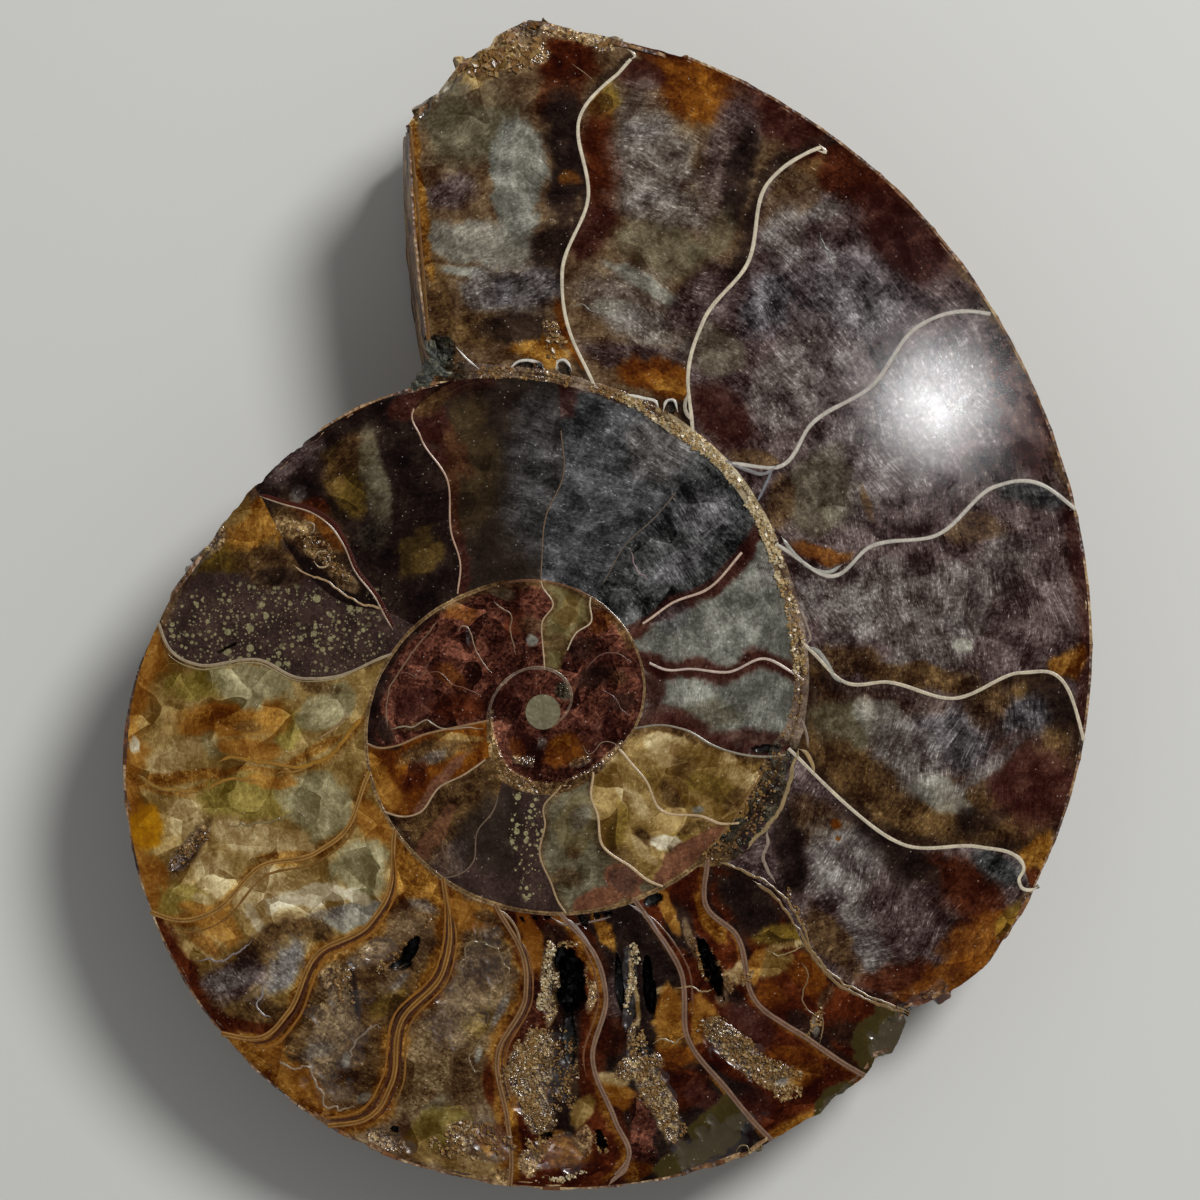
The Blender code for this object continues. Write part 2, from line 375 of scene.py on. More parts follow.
# Each mineral: dark and light colour, then how fibrous, faceted and gritty it is, and how wide
# the edge of a patch of it is, as a share of the patch
MINERALS = {
    "pitch": ("040101", "3a2a22", 0.4, 0.1, 0.05, 0.6),
    # The next row is no mineral: it is the near-black painted into open pockets as their shade.
    "painted_pocket_shade": ("010101", "060302", 0.0, 0.0, 0.3, 0.2),
    "night": ("150d09", "40342a", 0.3, 0.1, 0.1, 0.7),
    "ink": ("101110", "7c7a7c", 0.7, 0.15, 0.1, 0.8),
    "teal": ("020202", "727270", 0.7, 0.3, 0.1, 0.7),
    "slate": ("161315", "949094", 1.0, 0.1, 0.1, 0.8),
    "plum": ("150706", "80706c", 0.9, 0.1, 0.1, 0.7),
    "wine": ("1b0302", "5c3a2e", 0.5, 0.2, 0.1, 0.6),
    "garnet": ("120201", "7e4c3a", 0.35, 0.45, 0.45, 0.5),
    "rust": ("160100", "683014", 0.4, 0.25, 0.1, 0.6),
    "umber": ("170702", "86683e", 0.6, 0.2, 0.1, 0.6),
    "ember": ("2e0a01", "9c6018", 0.4, 0.25, 0.1, 0.5),
    "amber": ("381300", "bc8a3c", 0.5, 0.35, 0.15, 0.45),
    "gold": ("582c04", "bc8c40", 0.3, 0.4, 0.1, 0.4),
    "sun": ("6c3e02", "c08a12", 0.2, 0.3, 0.0, 0.5),
    "pear": ("443408", "ac9a50", 0.3, 0.42, 0.0, 0.45),
    "ice": ("4c4226", "b6ae88", 0.45, 0.36, 0.05, 0.4),
    "honey": ("4c330e", "b89c64", 0.4, 0.46, 0.05, 0.4),
    "khaki": ("423517", "90855f", 0.2, 0.6, 0.1, 0.35),
    "olive": ("2c1d06", "9a7c2c", 0.3, 0.5, 0.1, 0.45),
    "cream": ("6c5028", "d0be90", 0.45, 0.55, 0.1, 0.3),
    "ivory": ("86765a", "e4dcc0", 0.4, 0.6, 0.1, 0.25),
    "milk": ("46423a", "c2bfae", 0.5, 0.2, 0.1, 0.4),
    "haze": ("2a201c", "aaa6a0", 0.9, 0.1, 0.1, 0.7),
    "smoke": ("281306", "968060", 0.5, 0.15, 0.1, 0.5),
    "sugar": ("2c1906", "a48c66", 0.45, 0.3, 0.4, 0.5),
    "dusk": ("2f2617", "918a70", 0.4, 0.2, 0.1, 0.6),
    "moss": ("080502", "5f5a4a", 0.2, 0.4, 0.6, 0.4),
    "sage": ("36352e", "aaa99c", 0.5, 0.15, 0.1, 0.35),
    "mud": ("1f1412", "544038", 0.1, 0.0, 0.3, 0.2),
    "rose": ("402418", "966648", 0.1, 0.1, 0.3, 0.15),
    "tan": ("3a220c", "c8ab78", 0.1, 0.5, 0.9, 0.25),
    "druse": ("2c1604", "a88f60", 0.0, 0.0, 1.0, 0.3),
    "taupe": ("54443a", "b5a392", 0.4, 0.2, 0.3, 0.3),
    "shell": ("4d3922", "c4a474", 0.3, 0.0, 0.4, 0.3),
    "core": ("5a5440", "827c62", 0.2, 0.1, 0.5, 0.2),
    "chip": ("2c220c", "453b1c", 0.2, 0.0, 0.0, 0.08),
}
TRAITS = ("streak", "facet", "grit")

# Open pockets and chips: middle, length, width, turn of the length, and depth
HOLLOWS = [
    (2.7, -27.3, 6.4, 3.2, 94, 5.0), (1.7, -24.6, 3.0, 1.2, 78, 3.0), (2.6, -32.5, 6.0, 1.5, 92, 0.7),
    (10.6, -27.4, 5.6, 1.2, 96, 3.5), (7.6, -27.0, 6.0, 0.8, 95, 1.2),
    (16.7, -25.4, 6.8, 1.5, -68, 3.8), (-13.4, -24.0, 3.4, 1.2, 58, 3.0),
    (-14.4, -25.4, 2.2, 0.9, 10, 2.0),
    (5.8, -43.0, 2.4, 1.0, 105, 2.0), (0.3, -42.4, 1.4, 0.6, 25, 1.2),
    (-14.9, -41.8, 0.8, 0.8, 0, 1.0), (22.2, -3.7, 3.4, 0.9, 3, 0.7),
    (-31.6, 6.4, 2.6, 0.25, 28, 0.6), (4.0, -20.9, 1.3, 0.6, -60, 1.0),
    (-2.1, -20.7, 0.6, 0.4, -60, 0.7), (-0.8, -20.6, 0.5, 0.35, 0, 0.7),
    (0.4, -20.6, 0.9, 0.35, 0, 0.7), (5.4, -20.4, 0.7, 0.6, 40, 0.7),
    (6.5, -20.2, 0.9, 0.5, 20, 0.8), (11.0, -18.8, 2.0, 1.0, 25, 1.0),
    (-1.9, 34.6, 1.8, 0.8, 0, 0.5), (-0.35, 34.6, 0.8, 0.8, 60, 0.5),
    (2.1, 34.2, 1.8, 1.1, -60, 0.5), (12.8, 30.4, 1.5, 0.8, 90, 0.5),
]
# Unpolished hollows: the same, then how rough their bottoms are
WORN = [
    (-4.0, 68.2, 13, 4.5, 18, 1.6, 0.5), (3.5, 68.3, 9, 2.6, -14, 0.9, 0.4),
    (-9.5, 63.0, 8, 2.0, 48, 0.9, 0.4), (34.9, -32.8, 6.6, 4.2, 57, 0.5, 0.03),
    (29.5, -39.2, 6.0, 2.2, 40, 0.4, 0.03), (17.5, -42.9, 12, 4.6, 30, 0.15, 0.02),
    (-35.4, -13.6, 6.2, 1.5, 52, 0.5, 0.6), (-20.7, -33.0, 7.0, 14, -10, 0.2, 0.25),
    (-7.5, -28.0, 14, 6, 68, 0.25, 0.2), (-27, -26, 8, 4, 65, 0.2, 0.2),
    (-16.5, -24.0, 6, 3, 25, 0.3, 0.4), (0.0, -36.5, 10, 5, 75, 0.3, 0.5),
    (11.3, -37.5, 11, 3.2, -62, 0.25, 0.5), (20.5, -34.8, 10, 3.4, -32, 0.25, 0.5),
    (8.6, -27.5, 9, 1.6, 88, 0.3, 0.5), (0.6, -27.0, 8, 1.4, 88, 0.4, 0.5),
    (-11.0, 35.5, 3, 3, 0, 0.7, 0.6),
    (2, -44.3, 7, 4, 0, 0.3, 0.7), (-6, -42.7, 8, 4, -20, 0.3, 0.7),
    (-15.5, -42.8, 5, 2, -20, 0.4, 0.5), (37.6, -29.0, 7, 1.6, 30, 0.6, 0.5),
    (-33.5, 17, 8, 1.6, 58, 0.5, 0.5),
]


def ovals(x, y, spots):
    """For each (x, y, length, width, turn, ...), the distance from its middle: 1 on its edge."""
    for px, py, long, wide, turn, *rest in spots:
        c = math.cos(math.radians(turn))
        s = math.sin(math.radians(turn))
        dx = x - px
        dy = y - py
        yield np.hypot((dx * c + dy * s) * 2 / long, (dy * c - dx * s) * 2 / wide), rest


# How far the noise moves the edges of worn places and of pockets, as shares of their size
WORN_RAG = 1.2
HOLLOW_RAG = 0.7


def ragged_edge(x, y):
    """The noise that makes the edges of pockets and worn places ragged."""
    return mottle(x, y, 1.2, 11, 3)


def surface(x, y):
    """Height of the face: flat where it is polished, lower in pockets, chips and worn places."""
    height = np.zeros_like(x)
    ragged = ragged_edge(x, y)
    for far, (deep, rough) in ovals(x, y, WORN):
        into = ease((1.0 + ragged * WORN_RAG - far) / 0.5)
        height = np.minimum(height, into * (rough * mottle(x, y, 0.9, 12, 4) - deep * 0.8))
    for far, (deep,) in ovals(x, y, HOLLOWS):
        into = ease((1.05 + ragged * HOLLOW_RAG - far) / 0.3)
        height = np.minimum(height, -into * deep * (1 + 0.3 * mottle(x, y, 1.0, 13, 3)))
    return height


def through(xs, ys, x):
    """A smooth curve through points, read at x."""
    xs = np.asarray(xs, float)
    ys = np.asarray(ys, float)
    slope = np.gradient(ys, xs)
    k = np.clip(np.searchsorted(xs, x, side="right") - 1, 0, len(xs) - 2)
    h = xs[k + 1] - xs[k]
    t = (x - xs[k]) / h
    a = (1 + 2 * t) * (1 - t) ** 2 * ys[k] + t * (1 - t) ** 2 * h * slope[k]
    return a + t * t * (3 - 2 * t) * ys[k + 1] + t * t * (t - 1) * h * slope[k + 1]


FIRST_WALL_MM = 1.2


def coil_point(angle, across, edge=0.0):
    """Place on the face from an angle and a share of the way from the inner wall to the rim."""
    below = wall(np.maximum(angle - 360, COIL_END))
    inner = np.where(angle - 360 < COIL_END, FIRST_WALL_MM, below)
    outer = np.where(angle > WHORL_END, np.minimum(rim(angle), wall(angle) - edge), wall(angle))
    return on_face(inner + (outer - inner) * across, angle)


def away(x, y, line):
    """Distance of each point from a line of points."""
    nearest = np.full(len(x), 1e9)
    for px, py in line:
        nearest = np.minimum(nearest, np.hypot(x - px, y - py))
    return nearest


def chamber_sides(first, last, x, y):
    """Distance from the front and back septum, the whorl inside and the rim."""
    t = np.linspace(0, 1, 60)
    front = list(zip(*coil_point(through(ACROSS, SEPTA[first], t), t)))
    back = list(zip(*coil_point(through(ACROSS, SEPTA[last], t), t)))
    outer = np.linspace(SEPTA[first][-1], SEPTA[last][-1], 90)
    inner = np.linspace(SEPTA[first][0], SEPTA[last][0], 60)
    sides = {
        "front": away(x, y, front),
        "back": away(x, y, back),
        "rim": away(x, y, list(zip(*coil_point(outer, np.ones_like(outer))))),
        "ring": away(x, y, list(zip(*coil_point(inner, np.zeros_like(inner))))),
    }
    sides["all"] = np.minimum.reduce(list(sides.values()))
    sides["septa"] = np.minimum(sides["front"], sides["back"])
    return sides


# How far a patch's edge may wander, and the size and shift of the crystals that break it up
EDGE_WANDER_MM = 2.0
SHARD_MM = 1.9
SHARD_SHIFT = 1.5


def traits_of(name):
    """A mineral's colours, as square roots so that they blend evenly, and its traits, in one row."""
    dark, light, *traits = MINERALS[name]
    return np.array([*np.sqrt(linear(dark)), *np.sqrt(linear(light)), *traits[:3]])


def shards(x, y, size, seed):
    """Random shifts, -0.5 to 0.5, that are one and the same all over each crystal of a size."""
    gx = x / size
    gy = y / size
    ix = np.floor(gx).astype(np.int64)
    iy = np.floor(gy).astype(np.int64)
    nearest = np.full(x.shape, 9.0)
    shift_x = np.zeros_like(x)
    shift_y = np.zeros_like(x)
    for jx, jy in ((ix + i, iy + j) for i in (-1, 0, 1) for j in (-1, 0, 1)):
        far = np.hypot(jx + scatter(jx, jy, seed) - gx, jy + scatter(jx, jy, seed + 1) - gy)
        shift_x = np.where(far < nearest, scatter(jx, jy, seed + 2) - 0.5, shift_x)
        shift_y = np.where(far < nearest, scatter(jx, jy, seed + 3) - 0.5, shift_y)
        nearest = np.minimum(nearest, far)
    return shift_x, shift_y


def grown_over(held, name, share):
    """Colours and traits with a mineral grown over them, by its share at each point."""
    return held + (traits_of(name) - held) * share[:, None]


def rows(text):
    """A table written as text, as rows of words and numbers with a comma between rows."""
    return [[float(w) if w.lstrip("-")[0].isdigit() else w for w in row.split()]
            for row in text.split(",") if row.strip()]


def minerals(x, y, sides, base, bands, patches, seed):
    """Colours and traits of a filling: a base, bands along its sides, then patches."""
    held = np.tile(traits_of(base), (len(x), 1))
    wave = mottle(x, y, 2.2, seed) + 0.5 * mottle(x, y, 0.7, seed + 1)
    for side, name, reach, strength in rows(bands):
        into = ease((reach * (1 + 0.9 * wave) - sides[side]) / (0.55 * reach)) * strength
        held = grown_over(held, name, into)
    wave = wave + 0.6 * mottle(x, y, 0.5, seed + 6, 3)
    wander_x = mottle(x, y, 3.2, seed + 2, 5)
    wander_y = mottle(x, y, 3.2, seed + 4, 5)
    shard_x, shard_y = shards(x, y, SHARD_MM, seed + 8)
    for name, *oval in rows(patches):
        stray = min(EDGE_WANDER_MM, 0.2 + 0.6 * oval[3])
        edge = MINERALS[name][-1]
        leap = SHARD_SHIFT * MINERALS[name][3] * min(1.0, oval[3] / 3)
        far, (strength,) = next(ovals(x + stray * wander_x + leap * shard_x,
                                      y + stray * wander_y + leap * shard_y, [oval]))
        held = grown_over(held, name, ease((1 + edge * 0.5 + 0.35 * wave - far) / edge) * strength)
    return held


# Each chamber: its walls, its base mineral, bands along its sides (side, mineral, reach and
# strength), and patches (mineral, middle x and y, length, width, turn and strength)
CHAMBERS = {
    "chamber_01": ("mouth", "s1", "smoke", "rim tan 1 0.7, back pitch 1.2 0.7", """
        dusk -7 59 10 9 40 0.95, smoke -4 62.5 8 3 10 0.6, rust 2.5 65 6 5 -20 1,
        rust 2 61.5 5 4 90 0.8, pitch 2.4 55.5 15 4.4 92 1, ember 2.6 53.2 2.4 1.6 0 0.6,
        sage -2.6 53.4 13 5.4 92 0.95, milk -1.8 55 9 2.6 92 0.8, plum -9.6 52.2 5 3.4 20 0.9,
        dusk -10.6 57.4 6 2 115 0.7, milk -6.5 46.8 11 4 -8 0.85, milk -8.2 44.2 5 1 -8 1,
        haze -5.5 42.4 5 5 0 0.9, slate -1.5 42.4 7 5 8 0.8, pitch 0.5 46.4 4 4 0 0.8,
        umber -10.5 40.5 9 3 95 0.9, umber -6.6 38.4 6 4 0 0.9, pitch -2.5 38.6 7 3 5 0.8,
        amber 0.2 36 6 3.2 -15 0.95, ember 3 37.6 7 2 -60 0.9, amber -12.4 51.5 15 1.7 97 0.9,
        tan -4.5 66.2 11 5.5 14 0.95, honey -6 64.6 7 3 20 0.7, cream -3.5 67.2 5 2 0 0.8,
        tan 3.5 67.6 8 1.8 -14 0.9, tan 0.8 38.2 3 1.6 -30 0.8, moss -10.4 36 3 3.4 0 1"""),
    "chamber_02": ("s1", "s2", "smoke", "rim rust 1.8 0.9, back pitch 1.6 0.8", """
        ember 14.5 62.5 11 6.4 -15 0.95, wine 9.5 64 7 3 -22 0.9, wine 22.5 59.3 11 4.5 -25 0.95,
        olive 6.1 61 3.6 2.6 70 0.8, rust 5.9 54.5 13 3.6 92 0.95, wine 5 48.3 6 4 60 0.8,
        haze 9.8 60 5 7 0 0.6, haze 11 55 9 8 0 0.75, haze 12 50.4 11 4 -10 0.7,
        plum 18.6 56 12 5 75 0.85, pitch 19.8 53.2 10 3 82 0.9, dusk 12 46 10 5 -20 0.8,
        dusk 17 47.6 6 3 50 0.6, haze 9 41 12 6 -20 0.6, milk 10.4 42.6 9 1.6 -30 0.9,
        milk 7.3 40.3 6 2 -10 0.6, haze 10.5 38.2 9 4 -20 0.6, plum 15.6 41.2 8 3.6 52 0.95,
        plum 9 35.6 10 2.4 -8 0.9, ember 11.4 33.4 8 3.6 -14 0.95, amber 12.6 32.4 4 2 -14 0.8"""),
    "chamber_03": ("s2", "s3", "plum", "rim umber 1.2 0.8", """
        rust 30 53.6 15 4.5 -28 0.9, wine 36 47.8 12 6 -45 0.9, umber 25.6 53.6 6 2.5 30 0.8,
        smoke 24.6 51 7 4 30 0.7, haze 24.2 47.6 4.4 5.4 0 0.8, haze 27.8 50 3.4 1.8 20 0.8,
        haze 29 38 13 7 45 0.5, slate 31 42 12 8 -20 0.6, slate 22.6 41 7 5 60 0.8,
        dusk 17.6 36 5 6 60 0.6, haze 26 33 12 7 40 0.5, wine 17.6 29.6 8 5 -45 0.85,
        umber 21.3 25.3 5 2.2 -20 0.8, haze 28.6 46 4 0.7 -60 1"""),
    # The large haze and slate patches of chambers 04 and 05, where the lamp's glow falls, are partly
    # grey mineral and partly a painted glow: made paler to stand in for light on the polish.
    "chamber_04": ("s3", "s4", "plum", "rim umber 1.4 0.8", """
        haze 34 25.5 16 10 32 0.55, dusk 28 22 9 6 60 0.7, umber 24 21 5 2.5 90 0.8,
        ember 27.6 15.8 6 2 -10 0.8, wine 47.6 30 13 4.5 -70 0.8, pitch 45 24.5 6 4 0 0.6,
        umber 32.4 20.8 4 0.8 -75 0.9, slate 38 33 10 6 40 0.5"""),
    "chamber_05": ("s4", "s5", "plum", "rim wine 2 0.7", """
        umber 42.5 18.2 7 3 0 0.7, teal 48.6 22 7 3 -20 0.9, haze 33.6 11 10 8 0 0.7,
        haze 39 7 9 6 20 0.7, haze 42 11.4 7 7 0 0.55, haze 47 14.6 6 6 20 0.6,
        haze 30.4 10 6 6 0 0.6, milk 42 6.7 2.2 1.4 0 1, plum 50 10 14 6 90 0.7,
        haze 27 13 7 4 90 0.8, umber 31 5 7 3 -20 0.8, umber 37.6 3.6 12 2.6 -5 0.95,
        amber 52.4 4.6 4 3 40 0.9"""),
    "chamber_06": ("s5", "s6", "umber", "all pitch 1.6 0.6", """
        plum 40 -2 22 10 -20 0.7, dusk 29.8 -1.6 6 5 -10 0.9, slate 41 -3 9 6 -20 0.8,
        milk 34 -1.6 6 4 -50 0.75, haze 36.4 -4.8 9 7 -45 0.9, milk 40 -8.4 7.5 3.6 -28 0.75,
        pitch 51 1 6 4 -40 0.9, slate 48.4 -0.6 5 4 40 0.9, umber 44 1.2 5 4 90 0.6,
        wine 49 -7.4 9 9 0 0.95, haze 45 -5.2 9 1.3 38 0.7, umber 32.6 -7 13 4 -38 0.9,
        umber 39.6 -11.2 10 2.6 -20 0.8, pitch 43.6 -11 5 3 20 0.7, amber 50.2 -14 5.5 3 25 0.95,
        rust 48.6 -16.6 3 2 0 0.8"""),
    "chamber_07": ("s6", "s7", "plum", "rim umber 1.6 0.8, ring pitch 2 0.7", """
        rust 41 -17.4 10 6 -20 0.85, pitch 34 -12.6 10 5.4 -45 1, pitch 37.2 -17 5 4.6 0 0.9,
        teal 46 -15.4 6 3.2 -20 1, umber 27 -10.8 6 4.6 0 0.7, haze 29.6 -15 8 7 -60 0.85,
        haze 31 -19.4 5 3 -40 0.6, haze 32.4 -22.6 7.5 3.4 -60 0.9, plum 37 -20.6 9 6 -15 0.85,
        plum 37 -22 4 1.4 -20 0.8, ember 43.6 -22.6 9 5 20 0.85, rust 35 -26.4 8 3 10 0.8,
        ember 39.6 -27 11 3.4 25 0.85, pitch 24.4 -14 9 3 100 0.9, umber 28.6 -22.6 8 3.4 -55 0.85,
        olive 46.6 -20.8 5 2 52 0.7, ember 29.2 -11.2 1.1 1 0 1, ember 29.4 -12.7 0.6 0.4 0 1"""),
    "chamber_08": ("s7", "s8", "rust", "septa pitch 1 0.7", """
        pitch 20.6 -18.8 8 4 -38 1, pitch 21.4 -21.4 5 3 -30 0.9, rust 24 -29.4 6 6 0 0.9,
        olive 24 -22.4 6 2.2 10 0.95, honey 22.9 -25.4 5 2.6 5 0.95, cream 24.2 -23.4 5 0.8 14 0.9,
        gold 21.2 -25.6 1.4 3 0 0.8, ember 26.6 -26.2 4.6 3.4 100 0.95,
        ember 22.6 -28.4 3 2.4 -40 0.7, pitch 26.2 -32 5 3 -20 0.8, smoke 28.3 -28.5 2.6 1.2 60 0.9,
        milk 27 -31.3 1 2.2 0 0.7, rust 31 -29.6 6 3 -32 0.8, pitch 30.6 -32 4 3 0 0.7,
        chip 33.7 -32.5 7.4 4.4 57 1"""),
    "chamber_09": ("s8", "s9", "rust", "rim amber 1.4 0.8, front amber 0.8 0.6", """
        pitch 14 -21.6 7 2.6 -65 0.95, gold 12.4 -19.4 6 1.5 -62 0.9, amber 17 -20.8 6 1.6 -60 0.95,
        smoke 14.9 -22.8 4.6 0.9 -72 0.95, gold 15.9 -29.4 3.6 2.6 90 0.9,
        amber 15.4 -31.6 4 2 80 0.9, cream 18.9 -26.4 2.4 2 0 0.8, smoke 18.2 -28 1.6 3 0 0.9,
        pitch 18.4 -37.2 8 2 -28 0.95, pitch 19.8 -29.4 5 1.6 -60 0.9, wine 20.6 -31.4 6 4 -30 0.9,
        druse 18.6 -33 6.5 3 -40 1, druse 22.6 -36.2 7 2.8 -30 1, haze 24.2 -36.7 2 1.3 10 0.9,
        amber 26 -36.6 4 2.4 30 0.7, ember 25.2 -34.4 5 2 -10 0.7, amber 24.4 -41.8 7 2 28 0.8,
        wine 20.6 -39.4 4 3 0 0.7, chip 28.9 -38.7 5.6 2.2 42 1"""),
    "chamber_10": ("s9", "s10", "pitch", "back rust 1.4 0.8, front amber 0.7 0.7", """
        pitch 8.6 -24 10 6 90 1, pitch 12.2 -26 5 4 -50 0.9, amber 6 -21.6 5 1.6 -65 0.95,
        cream 9.1 -27.4 8 0.5 98 0.9, plum 7 -29 6 1.2 92 0.7, tan 8.9 -32.2 3.4 0.8 72 0.9,
        rust 7 -32.4 3.6 3 90 0.6, cream 12.2 -28 3 0.7 0 0.8, gold 12.7 -30 4.6 3.6 70 0.95,
        amber 12.6 -32.6 4 3 60 0.9, ember 13.3 -34.6 4.6 2.6 10 0.9, rust 13.8 -37.6 5 4 0 0.9,
        cream 7 -36.8 3.4 1.8 -5 0.95, gold 7.4 -38.8 4 2.4 -30 0.95, druse 9.8 -35.4 5 2.6 15 1,
        druse 11.6 -39 9.6 2.8 -62 1, garnet 9.4 -42.8 7 3.2 90 0.95, amber 9.2 -46 3.6 2 0 0.8,
        wine 15.6 -38.4 4 2.4 -40 0.8, chip 17.6 -41.6 7 4.4 52 1, chip 14.2 -44.9 8 2.6 20 1"""),
    "chamber_11": ("s10", "s11", "rust", "septa amber 1.1 0.75", """
        pitch 2.2 -36 15 4 90 0.95, pitch 0.6 -22.4 3 2.6 0 0.7, gold -1.3 -22.6 8 2.2 -75 0.9,
        garnet -1.2 -29.4 7 2 82 0.8, amber 4.1 -24 8 1.3 -56 0.95, tan 4.7 -28.4 3 0.9 85 0.9,
        druse 0.6 -27 9 1.5 88 1, druse -1.4 -35.4 7.5 4.4 70 1, druse -0.6 -40 7 2.6 -60 0.9,
        smoke 3 -36.4 4 2 90 0.5, rust 4.3 -35 9 1.6 90 0.9, honey 3.8 -39.8 3.6 2 70 0.95,
        amber 1.6 -43.8 6 3.4 0 0.9, rose -0.2 -43.6 3.6 2.6 0 0.8, tan -1.6 -44.8 3 3 0 0.9,
        tan 4.2 -42.6 2 2.6 0 0.8, rust 1.5 -47.2 12 1.5 3 0.95, amber -2.9 -42 8 1.2 90 0.9"""),
    "chamber_12": ("s11", "s12", "smoke",
                   "septa amber 1.9 0.9, septa rust 0.8 0.7, septa gold 0.45 0.6", """
        sugar -6.6 -27.4 14 5.4 72 0.95, sugar -12 -35.6 11 4.2 68 0.9, sugar -8.4 -34 10 5 80 0.8,
        gold -7.4 -20.4 5 2.6 -30 0.9, umber -5.6 -25.6 5.4 2.2 76 0.7, olive -6.4 -31 4 2.4 60 0.5,
        smoke -9.6 -31.6 6 1.8 66 0.6, dusk -10.8 -39.4 4 1.6 40 0.6, pitch -5.9 -20.6 2.4 1.6 0 0.6,
        umber -7.6 -36.4 7 4 75 0.6, haze -4.3 -30 3.4 1 60 0.7, milk -6.4 -34.2 1.6 0.7 90 0.8,
        rust -5.3 -37 5 1 95 0.9, pear -10.4 -41.4 6 4 30 0.7, tan -7.6 -42.2 3.6 2.2 0 0.9,
        honey -12 -43.8 7 1.8 -22 0.8, rose -5.2 -42.4 3 2.4 -50 0.8, gold -5.9 -43.3 2.4 1.2 -45 0.9,
        honey -7 -45.6 6 2.4 -18 0.6, tan -15.6 -42.6 4.6 1.8 -20 0.9, tan -4 -46.4 3 2 0 0.7"""),
    "chamber_13": ("s12", "s13", "umber",
                   "septa amber 2.2 0.9, septa rust 0.8 0.8, septa gold 0.4 0.5, rim amber 2.4 0.9", """
        amber -12.6 -16.4 10 4 -65 0.95, haze -12 -19.3 3.4 1.3 -20 0.8,
        smoke -13.6 -20.8 4.6 3 30 0.8, smoke -11.6 -22.6 6 1.6 80 0.6,
        smoke -16.8 -24 5.4 2.4 25 0.9, tan -17.2 -23.8 3.8 1.2 25 0.5,
        umber -15.6 -29.2 8 4.6 50 0.95, olive -15.2 -28.6 5 2 50 0.6, smoke -14.6 -26.8 4 2 35 0.8,
        haze -14.2 -26.9 2.6 0.8 35 0.6, sugar -21 -31 12 5 75 0.95, umber -20.2 -36.4 3.4 1.6 70 0.7,
        tan -20.6 -26.6 3.2 2.4 30 0.7, haze -22.4 -34 4 1.6 20 0.5, umber -17.6 -34.4 4.4 4.6 0 0.8,
        milk -19.6 -34.8 1.6 0.8 80 0.8, gold -25 -36 11 2.4 -42 0.8, smoke -20.4 -38.4 3.6 3 0 0.8,
        milk -18 -38.6 1.6 1 30 0.6, pitch -18.8 -27.8 5.6 0.9 100 0.9"""),
    "chamber_14": ("s13", "s14", "honey", "septa amber 1 0.9, rim rust 2.4 0.95", """
        cream -27 -18 10 6 -14 0.85, ice -18.4 -15.4 7 5.4 90 0.9, honey -23.5 -16.4 5 3 0 0.6,
        ivory -23.4 -18.6 9 2.2 8 0.8, ivory -28.4 -20.6 4 1.6 -55 0.7, milk -19.4 -20.4 7 2.6 20 0.9,
        ivory -19 -18.4 3.4 1.4 -20 0.9, haze -22 -20.4 4 1.4 10 0.6, gold -16.6 -11 5 4 -60 0.95,
        gold -32.6 -21.4 6 3 -30 0.85, umber -28.4 -23.4 8.4 2.4 42 0.95,
        umber -23.6 -21.8 5 2 -20 0.9, ember -34.2 -23.2 4 1.6 -30 0.6, plum -31 -27.2 7 5 30 0.95,
        umber -27.6 -30.4 6 2.4 0 0.8, haze -31.4 -26.8 4.6 2.6 10 0.55,
        haze -26 -25.8 6.6 2.6 62 0.95, rust -36 -26.4 10 2.2 -58 0.9, rust -29.6 -31.6 9 1.2 -8 0.9"""),
    "chamber_15": ("s14", "s15", "honey", "rim gold 2.8 0.95, septa amber 0.8 0.8", """
        pear -29.6 -8.8 10 4.4 0 0.9, cream -35.8 -10.6 4 3.6 0 0.85, cream -28 -12.8 10 3.4 -6 0.95,
        ice -21.8 -9.4 7 6 -30 0.9, ice -24.6 -8 4 3 0 0.6, cream -33 -15.8 5.6 4 -20 0.9,
        pear -36.4 -18.6 5 3 20 0.8, cream -34.6 -18.8 2 1.8 0 0.8, gold -33 -20 7 1.3 -8 0.85,
        gold -27 -7 5 1.4 0 0.9, umber -35.4 -13.8 6.6 1.7 52 0.9, tan -35.8 -14 5.6 1 52 0.9,
        sun -40 -11.6 3.2 5 0 1, gold -38.6 -16 4 2.4 -60 0.8, amber -24.6 -14.2 8 0.9 4 0.8"""),
    "chamber_16": ("s15", "s16", "honey", "rim gold 3 0.95, back umber 0.7 0.6", """
        pear -34 3 8 3.4 2 0.9, ice -29 2.8 9 3.6 -4 0.9, pear -25.2 -1.6 5 3 50 0.9,
        ice -22 0.6 6.4 3.6 40 0.9, honey -18.8 3 3.4 2.6 0 0.9, umber -22.6 2.8 5 1.4 -20 0.7,
        gold -31 -0.9 13 3.8 2 0.95, amber -30.6 -0.6 10 2 0 0.8, cream -36.8 -4.4 6 2.6 24 0.8,
        ice -33 -3.4 3.4 2.4 -50 0.6, gold -29.4 -3.6 6 2 -4 0.9, umber -29.4 -1.4 3 1.6 0 0.5,
        amber -36 -6.4 8 1.4 4 0.9, amber -23 -3.9 7 1 28 0.8, honey -38.8 -0.8 4 3.6 90 0.6,
        ivory -41 -2.8 1.2 1.8 0 1"""),
    "chamber_17": ("s16", "s17", "mud", "rim umber 1.2 0.6", """
        olive -32 15.6 10 3.6 12 0.95, umber -27 14.8 9 3.4 -8 0.9, amber -28.4 19 7 4.6 40 0.95,
        honey -30.6 20.2 4 2 50 0.8, tan -33 17.2 4 1.8 52 0.8, pitch -26.4 13.8 4.4 1.8 0 0.7,
        umber -39.2 7.2 7 2 72 0.9, tan -36 13.6 4 1.2 58 0.7"""),
